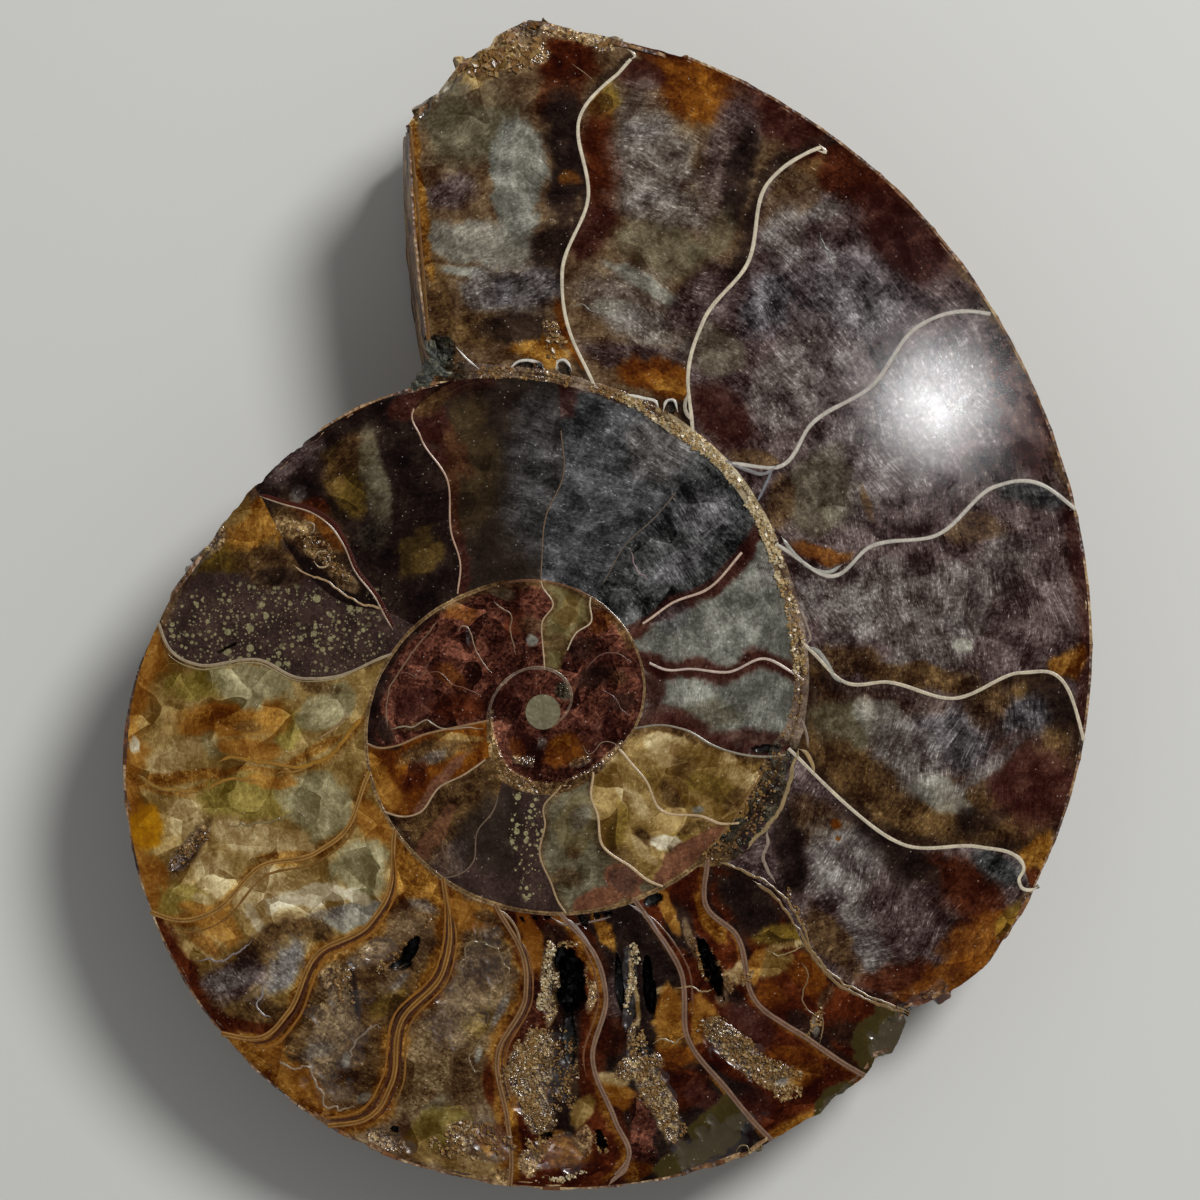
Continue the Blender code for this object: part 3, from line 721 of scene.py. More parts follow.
    "chamber_18": ("s17", "t1", "pitch", "", """
        umber -23 18 9 5 -38 0.95, ember -21.6 18 6 1.8 -45 0.7, tan -24.2 17.4 5 2.2 -50 0.6,
        tan -20.2 13.6 4 2 -40 0.5, rust -23 20.4 3 2 0 0.8, plum -25 25 7 3 38 0.8,
        olive -20 23.4 7 3.4 112 0.7, umber -21.2 23.6 5 2.6 100 0.5, umber -19 26 5 4 40 0.8,
        dusk -17 23.6 11 2.6 100 0.8, pitch -13.4 24 9 4 90 0.9, olive -12.4 15.6 5.4 3.6 60 0.45,
        moss -17 17.6 4 3 90 0.4, slate -22.6 28.8 8 1 36 0.8, ember -18.6 30.7 4.6 0.8 22 0.9,
        haze -15 32 4 0.9 15 0.8, wine -13.6 30.6 5 2.4 30 0.9, haze -24.4 21.8 1.8 1.6 0 0.6"""),
    "chamber_19": ("t1", "t2", "night", "front wine 1.3 0.9", """
        wine -10 27.6 9 3 -58 0.9, wine -8.6 32.4 8 2.6 12 0.9, umber -11 31 5 2 30 0.8,
        wine -9.3 16 8 1.6 88 0.9, pitch -5 31.4 8 3 -5 0.6, olive -7.4 25 6 14 0 0.2,
        ink 0 24 6 18 0 0.7, ink -2 22 5 12 0 0.5"""),
    "chamber_20": ("t2", "t3", "ink", "rim wine 1 0.5", """
        wine 2 31.4 3 3 0 0.7, haze 11.6 26.4 7 6 70 0.6"""),
    "chamber_21": ("t3", "t4", "teal", "back wine 0.8 0.8", """
        ink 11.6 21 9 3 50 0.8, slate 16.6 19.6 6 5 0 0.5, slate 14 14.8 6 3 20 0.5"""),
    "chamber_22": ("t4", "t5", "sage", "septa wine 1.5 0.95", """
        slate 12.6 9.6 4 3 0 0.5, haze 23 14 3 3 0 0.6"""),
    "chamber_23": ("t5", "t6", "sage", "front wine 1.3 0.95, back wine 1.6 0.9", """
        dusk 17 -0.5 5 3 0 0.6, wine 13 -0.8 8 2 -18 0.8, wine 21 -2.6 8 1.8 0 0.8,
        wine 10.8 2.6 3 4 0 0.8"""),
    "chamber_24": ("t6", "t7", "honey", "front umber 1.1 0.8", """
        cream 12.2 -3.6 5 2.8 -25 1, honey 16.4 -4.8 5 3 0 0.9, cream 19.6 -6.4 3 1.8 -30 0.95,
        umber 14 -6 2 3 30 0.4, cream 18.6 -4.6 2 1 -30 0.8, milk 15.4 -9.7 1.2 0.8 0 0.9,
        olive 16.6 -7.6 6 2.4 -20 0.7, umber 12.6 -8.2 1.6 4 20 0.7, olive 9.6 -6.2 2.4 3 30 0.6,
        umber 19.2 -8.8 3 1.8 50 0.6, tan 21.8 -5.8 5 1 62 0.8"""),
    "chamber_25": ("t7", "t8", "honey", "ring cream 0.8 0.7", """
        olive 7.4 -11.4 4.6 2 80 0.7, olive 14.8 -12.8 5 1.6 10 0.6, cream 8.6 -8.6 6 1.5 -50 0.9,
        umber 10.4 -12.6 2.6 1.4 -40 0.85, cream 10.4 -14 4 1.2 -52 0.9,
        ivory 12.6 -13.2 3.4 1.4 -15 1, umber 13.6 -14.6 2.4 1.2 -40 0.6, umber 8 -14.2 3 1.4 -30 0.6,
        rose 14.4 -14.8 10 2.3 42 1, umber 15.6 -11.5 4 1.6 20 0.5"""),
    "chamber_26": ("t8", "t9", "dusk", "all umber 0.8 0.5", """
        khaki 3 -11 7 4 80 0.6, umber 2.8 -14 1.8 1.6 0 0.7, haze 3.4 -10.6 3 2 60 0.5,
        umber 2.4 -16.6 3 2 0 0.6, rose 5.2 -18.8 5.4 2.2 16 1, rose 8.2 -17 4.6 3.6 10 1,
        mud 8 -17 3.4 2.6 0 0.5"""),
    "chamber_27": ("t9", "t10", "mud", "ring moss 1 0.7", """
        night -4.4 -12 9 4 80 0.8, mud -3 -18 6 3 0 0.8"""),
    "chamber_28": ("t10", "t11", "umber", "rim pitch 1 0.5", """
        night -6.6 -13 10 4.4 74 0.9, rose -10.8 -12.4 8 1.6 58 0.7, plum -9.4 -15 5 3 60 0.5"""),
    "chamber_29": ("t11", "t12", "ember", "rim amber 2.2 0.95", """
        umber -10.6 -3.8 8 2.4 14 0.95, haze -11.4 -4.8 4.4 1.2 30 0.6, gold -15 -8.4 4.4 2 -60 0.7,
        rust -12.8 -6.4 4 2 50 0.8, pitch -15.8 -3.2 3 1.4 -10 0.9, honey -8.6 -2.4 5 0.8 -6 0.7,
        rose -10.4 -7.2 8.6 1.4 50 1"""),
    "chamber_30": ("t12", "u1", "garnet", "rim pitch 1.4 0.9", """
        wine -13 1.2 5 3 0 0.7, rust -8.6 0.6 5 2.6 0 0.7, umber -12.4 -1.4 4 0.9 6 0.8,
        pitch -16 -1.8 3 1.6 -60 0.9"""),
    "chamber_31": ("u1", "u2", "garnet", "rim pitch 1 0.8", """
        wine -12.6 3.4 5 3 0 0.6, ember -9 3.4 4 2 -30 0.5"""),
    "chamber_32": ("u2", "u3", "garnet", "rim umber 0.8 0.7", """
        haze -9 5.8 3.6 2.6 20 0.75, slate -8 7.6 1.6 1.6 0 0.9, ember -8 9.4 3 2 0 0.5,
        rust -11 7 3 3 0 0.6"""),
    "chamber_33": ("u3", "u4", "garnet", "rim umber 1 0.8", """
        smoke -1.4 8.8 3 2.6 0 0.6, milk -1.2 7.1 1.3 1.1 0 1, dusk -4 11.9 2.4 1.2 0 0.7,
        rust -4 9 4 4 0 0.5"""),
    "chamber_34": ("u4", "u5", "khaki", "all umber 0.6 0.8", """
        honey 2.4 10 3 2 60 0.5, umber 1.6 7 2 2 0 0.7"""),
    "chamber_35": ("u5", "u6", "garnet", "rim umber 0.9 0.8", """
        ember 5.6 9 2.4 2 0 0.5, pitch 4 6.6 3 2 0 0.5"""),
    "chamber_36": ("u6", "v1", "garnet", "all wine 0.7 0.4", """
        pitch 5 3.6 4 2 20 0.6, pitch 8 1 3 2 0 0.5, wine 7 -2 3 3 0 0.5, umber 7.6 3.4 2 1.4 0 0.5"""),
    "chamber_37": ("v1", "v2", "garnet", "rim tan 0.7 0.9", """
        ember 2.4 -3.8 5.4 3.2 20 0.9, amber 1.8 -3.2 2.4 1.6 30 0.7, tan 3.6 -5 2.6 1.2 20 0.7,
        haze -0.6 -3.2 1.6 1.2 0 0.7, wine 5.2 -2.6 3 4 0 0.5"""),
    "chamber_38": ("v2", "v3", "garnet", "rim tan 0.8 0.9", """
        wine -3 -3 3 3 0 0.5, tan -1.6 -5 3.4 1.2 -20 0.9, amber 0.4 -4.6 3 1.8 0 0.8,
        ember -2.8 -3.4 2.4 1.6 -40 0.6"""),
    "chamber_39": ("v3", "v4", "garnet", "", """
        wine -3 1.5 4 3 0 0.5"""),
    "chamber_40": ("v4", "v5", "garnet", "", """
        wine -1 3 4 2 0 0.5, moss 2.4 2.2 2.2 2 0 0.9"""),
}


# Polished calcite: a cold, glassy stone with IOR 1.55. Its clouds of 3 mm, crystals of 3 and 1.3 mm,
# fibres 0.5 mm wide and needles 0.15 mm wide sit under the polish, and only the worn and druzy parts
# are rough. Real needles are finer: these are as coarse as they need to be to show.
material, tree, shader, place = new_material("polished_calcite")
traits = {n: add(tree, "Attribute", {}, attribute_name=n).outputs["Fac"]
          for n in (*TRAITS, "spots", "dull")}
streak, facet = traits["streak"], traits["facet"]
dark, light = (add(tree, "Attribute", {}, attribute_name=n).outputs["Color"] for n in ("dark", "light"))
growth = add(tree, "Attribute", {}, attribute_name="growth").outputs["Vector"]
drift = add(tree, "TexNoise", {"Vector": place, "Scale": 0.22, "Detail": 1})
drifted = add(tree, "VectorMath", {0: drift.outputs["Color"], 1: (3.0, 3.0, 3.0), 2: place},
              operation="MULTIPLY_ADD")
cloud = add(tree, "TexNoise", {"Vector": drifted, "Scale": 0.36, "Detail": 5, "Roughness": 0.55})
grains = add(tree, "TexNoise", {"Vector": place, "Scale": 2.8, "Detail": 6, "Roughness": 0.75})
sweep = add(tree, "TexNoise", {"Vector": place, "Scale": 0.13, "Detail": 0})
fanned = add(tree, "VectorMath", {0: sweep.outputs["Color"], 1: (3.0, 11.0, 0.0), 2: growth},
             operation="MULTIPLY_ADD")
fibre = add(tree, "TexNoise", {"Vector": fanned, "Scale": 0.8, "Detail": 6, "Roughness": 0.65})
narrow = add(tree, "VectorMath", {0: fanned, 1: (2.6, 2.7, 1)}, operation="MULTIPLY")
needle = add(tree, "TexVoronoi", {"Vector": narrow, "Scale": 1.0}, voronoi_dimensions="2D")
# Cells for the sugar grains, for the painted glints, and for white specks that are partly dust and
# partly painted glints
sugar, speck, dust_and_glint_cells = (add(tree, "TexVoronoi", {"Vector": place, "Scale": n}) for n in (4.4, 2.4, 1.7))


def swung(level, pattern, middle, gain):
    """The level, raised or lowered by how far a pattern is from its middle."""
    apart = add(tree, "Math", {0: pattern, 1: middle}, operation="SUBTRACT")
    return add(tree, "Math", {0: apart, 1: gain, 2: level}, operation="MULTIPLY_ADD")


def specks(cells, rare, common, edge, middle):
    """Bright specks in the middles of some of the cells of a pattern."""
    tone = add(tree, "SeparateColor", {0: cells.outputs["Color"]}).outputs["Green"]
    chosen = add(tree, "MapRange", {0: tone, 1: rare, 2: common})
    inside = add(tree, "MapRange", {0: cells.outputs["Distance"], 1: edge, 2: middle})
    return add(tree, "Math", {0: chosen, 1: inside}, operation="MULTIPLY")


# How light the stone is between its dark and its light colour, from 0 to 1 and a little past
level = 0.5
for noise, by_streak, always in ((cloud, 0.3, 0.45), (grains, 0.35, 0.3), (fibre, 0.45, 0.0)):
    pattern = add(tree, "MapRange", {0: noise, 1: 0.3, 2: 0.7})
    gain = add(tree, "Math", {0: streak, 1: by_streak, 2: always}, operation="MULTIPLY_ADD")
    level = swung(level, pattern, 0.5, gain)
tone = add(tree, "SeparateColor", {0: needle.outputs["Color"]})
few = add(tree, "Math", {0: tone, 1: 4.0}, operation="POWER")
inside = add(tree, "MapRange", {0: needle.outputs["Distance"], 1: 0.6, 2: 0.1})
strand = add(tree, "Math", {0: few, 1: inside}, operation="MULTIPLY")
level = swung(level, strand, 0.08, add(tree, "Math", {0: streak, 1: 0.5}, operation="MULTIPLY"))
seam = 0.0
for size, share in ((0.3, 0.9), (0.75, 0.35)):
    crystal = add(tree, "TexVoronoi", {"Vector": drifted, "Scale": size})
    border = add(tree, "TexVoronoi", {"Vector": drifted, "Scale": size}, feature="DISTANCE_TO_EDGE")
    # Painted shading: each crystal is lighter on one side and darker on the other, a gradient in a
    # random direction that stands in for its face tilted to the light
    lean = add(tree, "VectorMath", {0: drifted, 1: crystal.outputs["Position"]}, operation="SUBTRACT")
    shading_way = add(tree, "VectorMath", {0: crystal.outputs["Color"], 1: (0.5, 0.5, 0.5)},
               operation="SUBTRACT")
    slope = add(tree, "VectorMath", {0: lean, 1: shading_way}, operation="DOT_PRODUCT").outputs["Value"]
    tone = add(tree, "SeparateColor", {0: crystal.outputs["Color"]})
    pattern = add(tree, "Math", {0: slope, 1: 1.6 * size, 2: tone}, operation="MULTIPLY_ADD")
    gain = add(tree, "Math", {0: facet, 1: share}, operation="MULTIPLY")
    level = swung(level, pattern, 0.5, gain)
    thin = add(tree, "MapRange", {0: border.outputs["Distance"], 1: 0.04, 2: 0.01})
    shown = add(tree, "MapRange", {0: tone.outputs["Green"], 1: 0.6, 2: 1.0})
    line = add(tree, "Math", {0: thin, 1: shown}, operation="MULTIPLY")
    seam = add(tree, "Math", {0: seam, 1: line}, operation="MAXIMUM")
level = swung(level, add(tree, "SeparateColor", {0: sugar.outputs["Color"]}), 0.5, traits["grit"])
for way, value in (("MINIMUM", 1.5), ("MAXIMUM", 0.0), ("POWER", 1.4)):
    level = add(tree, "Math", {0: level, 1: value}, operation=way)
base = add(tree, "Mix", {0: level, 6: dark, 7: light}, data_type="RGBA", clamp_factor=False)

# Pale seams between crystals, and painted highlights over them: white glints and flashing needles that
# stand in for light caught by the polish and the cleavage, and white specks that are partly real dust
# and partly painted glints
for share in (facet, 0.6):
    seam = add(tree, "Math", {0: seam, 1: share}, operation="MULTIPLY")
lined = add(tree, "Mix", {0: seam, 6: base.outputs[2], 7: light}, data_type="RGBA")
glint_and_dust = specks(speck, 0.75, 0.95, 0.26, 0.06)
hazy = add(tree, "MapRange", {0: cloud, 1: 0.4, 2: 0.6})
glint_and_dust = add(tree, "Math", {0: glint_and_dust, 1: hazy}, operation="MULTIPLY")
glint_and_dust = add(tree, "Math", {0: glint_and_dust, 1: specks(dust_and_glint_cells, 0.6, 0.95, 0.16, 0.05)}, operation="MAXIMUM")
bright = add(tree, "MapRange", {0: level, 1: 0.3, 2: 0.9})
streaked = add(tree, "Math", {0: streak, 1: bright}, operation="MULTIPLY")
painted_flash = add(tree, "Math", {0: specks(needle, 0.93, 0.98, 0.4, 0.1), 1: streaked}, operation="MULTIPLY")
weak, strong = (add(tree, "Math", {0: part, 1: share}, operation="MULTIPLY")
                for part, share in ((glint_and_dust, 0.6), (painted_flash, 0.8)))
glint_flash_and_dust = add(tree, "Math", {0: weak, 1: strong}, operation="MAXIMUM")
speckled = add(tree, "Mix", {0: glint_flash_and_dust, 6: lined.outputs[2], 7: (*np.sqrt(linear("d8d2c6")), 1)},
               data_type="RGBA")
speckled = add(tree, "Gamma", {0: speckled.outputs[2], 1: 2.0})

# Round beads of pale mineral in the mud, in three sizes up to 0.9 mm across
beads = 0.0
for size, biggest in ((0.9, 0.4), (1.7, 0.45), (3.1, 0.45)):
    bead = add(tree, "TexVoronoi", {"Vector": place, "Scale": size})
    tone = add(tree, "SeparateColor", {0: bead.outputs["Color"]})
    reach = add(tree, "Math", {0: tone.outputs["Blue"], 1: biggest}, operation="MULTIPLY")
    inside = add(tree, "Math", {0: reach, 1: bead.outputs["Distance"]}, operation="SUBTRACT")
    within = add(tree, "MapRange", {0: inside, 1: 0.0, 2: 0.06})
    chosen = add(tree, "MapRange", {0: tone.outputs["Green"], 1: 0.0, 2: 0.4})
    for share in (chosen, traits["spots"]):
        within = add(tree, "Math", {0: within, 1: share}, operation="MULTIPLY")
    beads = add(tree, "Math", {0: beads, 1: within}, operation="MAXIMUM")
bead_tone = add(tree, "ValToRGB", {0: grains}, stops=[(0.3, "4c4426"), (0.7, "a8a078")])
beads = add(tree, "Math", {0: beads, 1: 0.8}, operation="MULTIPLY")
finished = add(tree, "Mix", {0: beads, 6: speckled, 7: bead_tone}, data_type="RGBA")

# The polish, and a bump from sugar grains where the stone is gritty and from fine scuffs all over
uneven = add(tree, "MapRange", {0: cloud, 1: 0.3, 2: 0.7})
polish = add(tree, "Math", {0: uneven, 1: 0.05, 2: 0.04}, operation="MULTIPLY_ADD")
rough = add(tree, "Math", {0: traits["dull"], 1: 0.35, 2: polish}, operation="MULTIPLY_ADD")
gritty = add(tree, "MapRange", {0: traits["grit"], 1: 0.5, 2: 1.0})
grain = add(tree, "Math", {0: sugar.outputs["Distance"], 1: gritty}, operation="MULTIPLY")
scuffs = add(tree, "TexNoise", {"Vector": place, "Scale": 7.0, "Detail": 3})
grain = add(tree, "Math", {0: scuffs, 1: 0.013, 2: grain}, operation="MULTIPLY_ADD")
bump = add(tree, "Bump", {"Height": grain, "Strength": 0.6, "Distance": 0.25 * MM})
plug(shader, {"Base Color": finished.outputs[2], "Roughness": rough, "Normal": bump, "IOR": 1.55})
polished_calcite = material

# Where beads grew: middle, length, width, turn and strength
SPOTS = {
    "chamber_17": [(-27, 8.2, 25, 9.2, -4, 1.0)],
    "chamber_27": [(-1.5, -12.8, 12, 3.2, 93, 3.0)],
    "chamber_18": [(-16.6, 11.6, 3, 1.6, -40, 0.7)],
}


# Fibres and needles lie along the coil: pattern units to a mm along it, and across it
ALONG_GROWTH = 0.45
ACROSS_GROWTH = 2.4


def painted(piece, held, growth, spots, dull):
    """Stores the colours and traits of a skin's minerals on its points."""
    count = len(held)
    ones = np.ones((count, 1))
    for key, values in (("dark", held[:, :3]), ("light", held[:, 3:6])):
        layer = piece.data.attributes.new(key, "FLOAT_COLOR", "POINT")
        layer.data.foreach_set("color", np.hstack([values, ones]).ravel())
    for key, values in (*zip(TRAITS, held[:, 6:].T), ("spots", spots), ("dull", dull)):
        layer = piece.data.attributes.new(key, "FLOAT", "POINT")
        layer.data.foreach_set("value", np.ascontiguousarray(values))
    layer = piece.data.attributes.new("growth", "FLOAT_VECTOR", "POINT")
    layer.data.foreach_set("vector", np.stack(growth, 1).ravel())


def points_of(piece):
    """A piece's points, as three rows: x, y and height."""
    flat = np.empty(len(piece.data.vertices) * 3)
    piece.data.vertices.foreach_get("co", flat)
    return flat[0::3], flat[1::3], flat[2::3]


def hollowed(x, y, held):
    """Paints the open pockets near-black, the deeper the darker, as painted shade in the hollows, and
    tells where the face lost its polish.
    """
    # Painted shade: how near-black each point of a pocket turns, set by the pocket's depth.
    pocket_shade = np.zeros(len(x))
    for far, (deep,) in ovals(x, y, HOLLOWS):
        edge = 1.05 + ragged_edge(x, y) * HOLLOW_RAG
        pocket_shade = np.maximum(pocket_shade, ease((edge - far) / 0.3) * min(deep, 1.0))
    held = grown_over(held, "painted_pocket_shade", pocket_shade)
    dull = pocket_shade
    for far, _ in ovals(x, y, WORN):
        dull = np.maximum(dull, ease((1.0 + ragged_edge(x, y) * WORN_RAG - far) / 0.3))
    return held, dull


def filling(name, first, last, base, bands, patches, seed):
    """One chamber filling: a skin between two septa, painted with its minerals."""
    corners = [np.ravel(coil_point(np.array([float(SEPTA[k][i])]), ACROSS[i]))
               for k in (first, last) for i in (0, 3, -1)]
    long = max(np.hypot(*(corners[i] - corners[i + 3])) for i in range(3))
    tall = max(np.hypot(*(corners[i + 2] - corners[i])) for i in (0, 3))
    on_rim = SEPTA[first][-1] > WHORL_END + 6
    growth = []

    def bent(s, t):
        a = through(ACROSS, SEPTA[first], t)
        b = through(ACROSS, SEPTA[last], t)
        x, y = coil_point(a + (b - a) * s, t, 0.85 * SHELL_MM if on_rim else 0)
        growth.extend((s * long * ALONG_GROWTH + 31 * seed, t * tall * ACROSS_GROWTH,
                       np.full_like(s, seed)))
        return x, y, surface(x, y)

    along = max(int(long * 1.15 / GRAIN_MM), 8)
    piece = skin(name, along, max(int(tall * 1.05 / GRAIN_MM), 8), bent)
    face_way(piece, 1)
    x, y, _ = points_of(piece)
    held = minerals(x, y, chamber_sides(first, last, x, y), base, bands, patches, seed)
    held, dull = hollowed(x, y, held)
    spots = np.zeros(len(x))
    strayed = x + mottle(x, y, 1, 5), y + mottle(x, y, 1, 6)
    for far, (strength,) in ovals(*strayed, SPOTS.get(name, ())):
        spots = np.maximum(spots, ease((1.1 - far) / 0.25) * strength)
    painted(piece, held, growth, spots, dull)
    applied(piece, "SOLIDIFY", thickness=FILLING_MM, offset=-1)
    return laid(piece, polished_calcite)


for number, (name, (first, last, base, bands, patches)) in enumerate(CHAMBERS.items()):
    filling(name, first, last, base, bands, patches, 20 + 7 * number)

# The first chamber, a small ball that the saw cut through: a disc of pale grey-green calcite
CORE_MM = 1.75
CORE_PROUD_MM = 0.05
core_growth = []


def disc(s, t):
    """The first chamber: a square grid pressed into a round disc."""
    x, y = s * 2 - 1, t * 2 - 1
    round_x = x * np.sqrt(1 - y * y / 2) * CORE_MM
    round_y = y * np.sqrt(1 - x * x / 2) * CORE_MM
    core_growth.extend((round_x, round_y, np.full_like(s, 3)))
    return round_x, round_y, np.full_like(s, CORE_PROUD_MM)


core = skin("first_chamber", 28, 28, disc)
face_way(core, 1)
x, y, z = points_of(core)
painted(core, np.tile(traits_of("core"), (len(x), 1)), core_growth, 0 * x, 0 * x)
applied(core, "SOLIDIFY", thickness=FILLING_MM, offset=-1)
laid(core, polished_calcite)

# ------------------------------------------------------------------ the chamber walls
# Septa: thin walls of aragonite that the animal built behind it, cut through by the saw. They are
# cream where the shell is fresh, tan where it is stained, and a hair proud of the softer filling.

PROUD_MM = 0.03
VEIN_DOWN_MM = 0.3
VEIN_STEP_MM = 0.2
LEAST_HALF_MM = 0.03


def smooth_line(points, step):
    """Points of a smooth curve through given points, a step apart."""
    spots = np.array(points, float)
    run = np.concatenate([[0], np.cumsum(np.hypot(*np.diff(spots, axis=0).T))])
    at = np.linspace(0, run[-1], max(int(run[-1] / step), 4))
    return through(run, spots[:, 0], at), through(run, spots[:, 1], at), at


def vein(name, points, width, colour, core=None, proud=PROUD_MM, ragged=0.15, taper=0.0, wander=0.0):
    """A thin wall seen on the cut: a ribbon along a curve, with its edge and core colours."""
    cx, cy, run = smooth_line(points, VEIN_STEP_MM)
    cx, cy = cx + wander * mottle(cx, cy, 1.3, 78), cy + wander * mottle(cx, cy, 1.3, 79)
    nx = np.gradient(cy)
    ny = -np.gradient(cx)
    size = np.maximum(np.hypot(nx, ny), 1e-9)
    ends = ease(run / taper) * ease((run[-1] - run) / taper) if taper else 1.0
    half = width / 2 * (1 + ragged * 2 * mottle(run, run * 0 + len(points), 1.5, 77)) * ends
    half = np.maximum(half, LEAST_HALF_MM)
    index = np.arange(len(cx))
    sides = []

    def bent(s, t):
        k = s * (len(cx) - 1)
        side = t * 2 - 1
        sides.append(np.abs(side))
        out = side * np.interp(k, index, half)
        x = np.interp(k, index, cx) + out * np.interp(k, index, nx / size)
        y = np.interp(k, index, cy) + out * np.interp(k, index, ny / size)
        return x, y, surface(x, y) + proud * (1.3 - side * side)

    piece = skin(name, len(cx) - 1, 6, bent)
    face_way(piece, 1)
    side = sides[0]
    edge, middle = np.array(linear(colour)), np.array(linear(core or colour))
    part = ease((side - 0.15) / 0.35)[:, None]
    tones = middle + (edge - middle) * part
    tones *= (1 - 0.6 * ease((side - 0.7) / 0.3))[:, None]
    layer = piece.data.attributes.new("tone", "FLOAT_COLOR", "POINT")
    layer.data.foreach_set("color", np.hstack([tones, np.ones((len(side), 1))]).ravel())
    applied(piece, "SOLIDIFY", thickness=VEIN_DOWN_MM, offset=-1)
    return piece


def joined(name, pieces):
    """Joins pieces into one with this name."""
    bpy.ops.object.select_all(action="DESELECT")
    for piece in pieces:
        piece.select_set(True)
    bpy.context.view_layer.objects.active = pieces[0]
    bpy.ops.object.join()
    pieces[0].name = name
    return pieces[0]


def septum_points(name, low=0.0, high=1.0, count=40):
    """Places along a septum on the face, from one share of the whorl's width to another."""
    t = np.linspace(low, high, count)
    x, y = coil_point(through(ACROSS, SEPTA[name], t), t, 0.1)
    return list(zip(x, y))


# Aragonite wall: fine-grained and satin, cream with brown stain in its pores, in spots of about
# 1.5 mm over a grain of 0.2 mm.
material, tree, shader, place = new_material("aragonite_wall")
tone = add(tree, "Attribute", {}, attribute_name="tone").outputs["Color"]
stain = add(tree, "TexNoise", {"Vector": place, "Scale": 0.7, "Detail": 7, "Roughness": 0.7})
grains = add(tree, "TexNoise", {"Vector": place, "Scale": 6.0, "Detail": 2})
stained = add(tree, "MapRange", {0: stain, 1: 0.25, 2: 0.75})
shade = add(tree, "Math", {0: stained, 1: 0.55, 2: 0.55}, operation="MULTIPLY_ADD")
grained = add(tree, "MapRange", {0: grains, 1: -0.6, 2: 0.8})
shade = add(tree, "Math", {0: shade, 1: grained}, operation="MULTIPLY")
worn = add(tree, "Mix", {0: 1.0, 6: tone, 7: shade}, data_type="RGBA", blend_type="MULTIPLY")
plug(shader, {"Base Color": worn.outputs[2], "Roughness": 0.22})
aragonite = material

FRESH = "e6d8bd"
STAINED = "b8966a"
BROWN = "957560"
# How far across the whorl the walls reach that stop short of the rim
SHORT_OF_RIM = {"s1": 0.955, "s2": 0.95, "s3": 0.985, "s6": 0.93, "s10": 0.96}
# Each outer wall: width, edge colour and core colour
OUTER_WALLS = [
    ("s1", 0.36, FRESH, FRESH), ("s2", 0.4, FRESH, FRESH), ("s3", 0.42, "cfc6b8", "d8cfc0"),
    ("s4", 0.4, "cfc6b8", "d8cfc0"), ("s5", 0.36, FRESH, "d2c3a6"), ("s6", 0.36, FRESH, "d2c3a6"),
    ("s8", 0.55, BROWN, "6e4f3a"), ("s9", 0.55, BROWN, "6e4f3a"), ("s10", 0.5, "9c7c66", "745641"),
    ("s11", 0.5, "a07c54", "6a4426"), ("s12", 0.5, "aa7c3e", "6b4216"),
    ("s13", 0.5, "b08244", "70461a"), ("s14", 0.5, "b88a48", "7c5424"),
    ("s16", 0.3, "b5a183", "a08c70"),
]
veins = [vein("wall", septum_points(n, 0, SHORT_OF_RIM.get(n, 1)), w, c, core)
         for n, w, c, core in OUTER_WALLS]
septa = joined("septa_outer", veins)
laid(septa, aragonite)

# Each inner wall: from and to across the whorl, width and colour
INNER_WALLS = [
    ("t1", 0.02, 0.9, 0.18, "c9a489"), ("t2", 0.0, 0.75, 0.12, "80664c"),
    ("t3", 0.1, 0.7, 0.14, "6d5f50"),
    ("t4", 0.1, 0.8, 0.26, "d6b9a4"), ("t5", 0.05, 1, 0.26, "d6bfae"), ("t6", 0, 1, 0.22, "9a8f7a"),
    ("t7", 0, 1, 0.26, "d0b288"), ("t8", 0, 1, 0.26, "d0b288"), ("t9", 0, 1, 0.2, "b1936c"),
    ("t10", 0.2, 1, 0.14, "7a6450"), ("t11", 0.1, 1, 0.2, "b89a78"), ("t12", 0, 1, 0.22, "a07a54"),
    ("u4", 0, 1, 0.16, "c2a684"), ("u5", 0.3, 1, 0.16, "dcc8a4"),
]
veins = [vein("wall", septum_points(n, a, b), w, c) for n, a, b, w, c in INNER_WALLS]
laid(joined("septa_inner", veins), aragonite)

# ------------------------------------------------------------------ the walls between the whorls
# Where a whorl lies on the one inside it, two shell walls run side by side, with a crust of small
# calcite crystals between and beside them. The saw shows them as a band round the inner whorls.

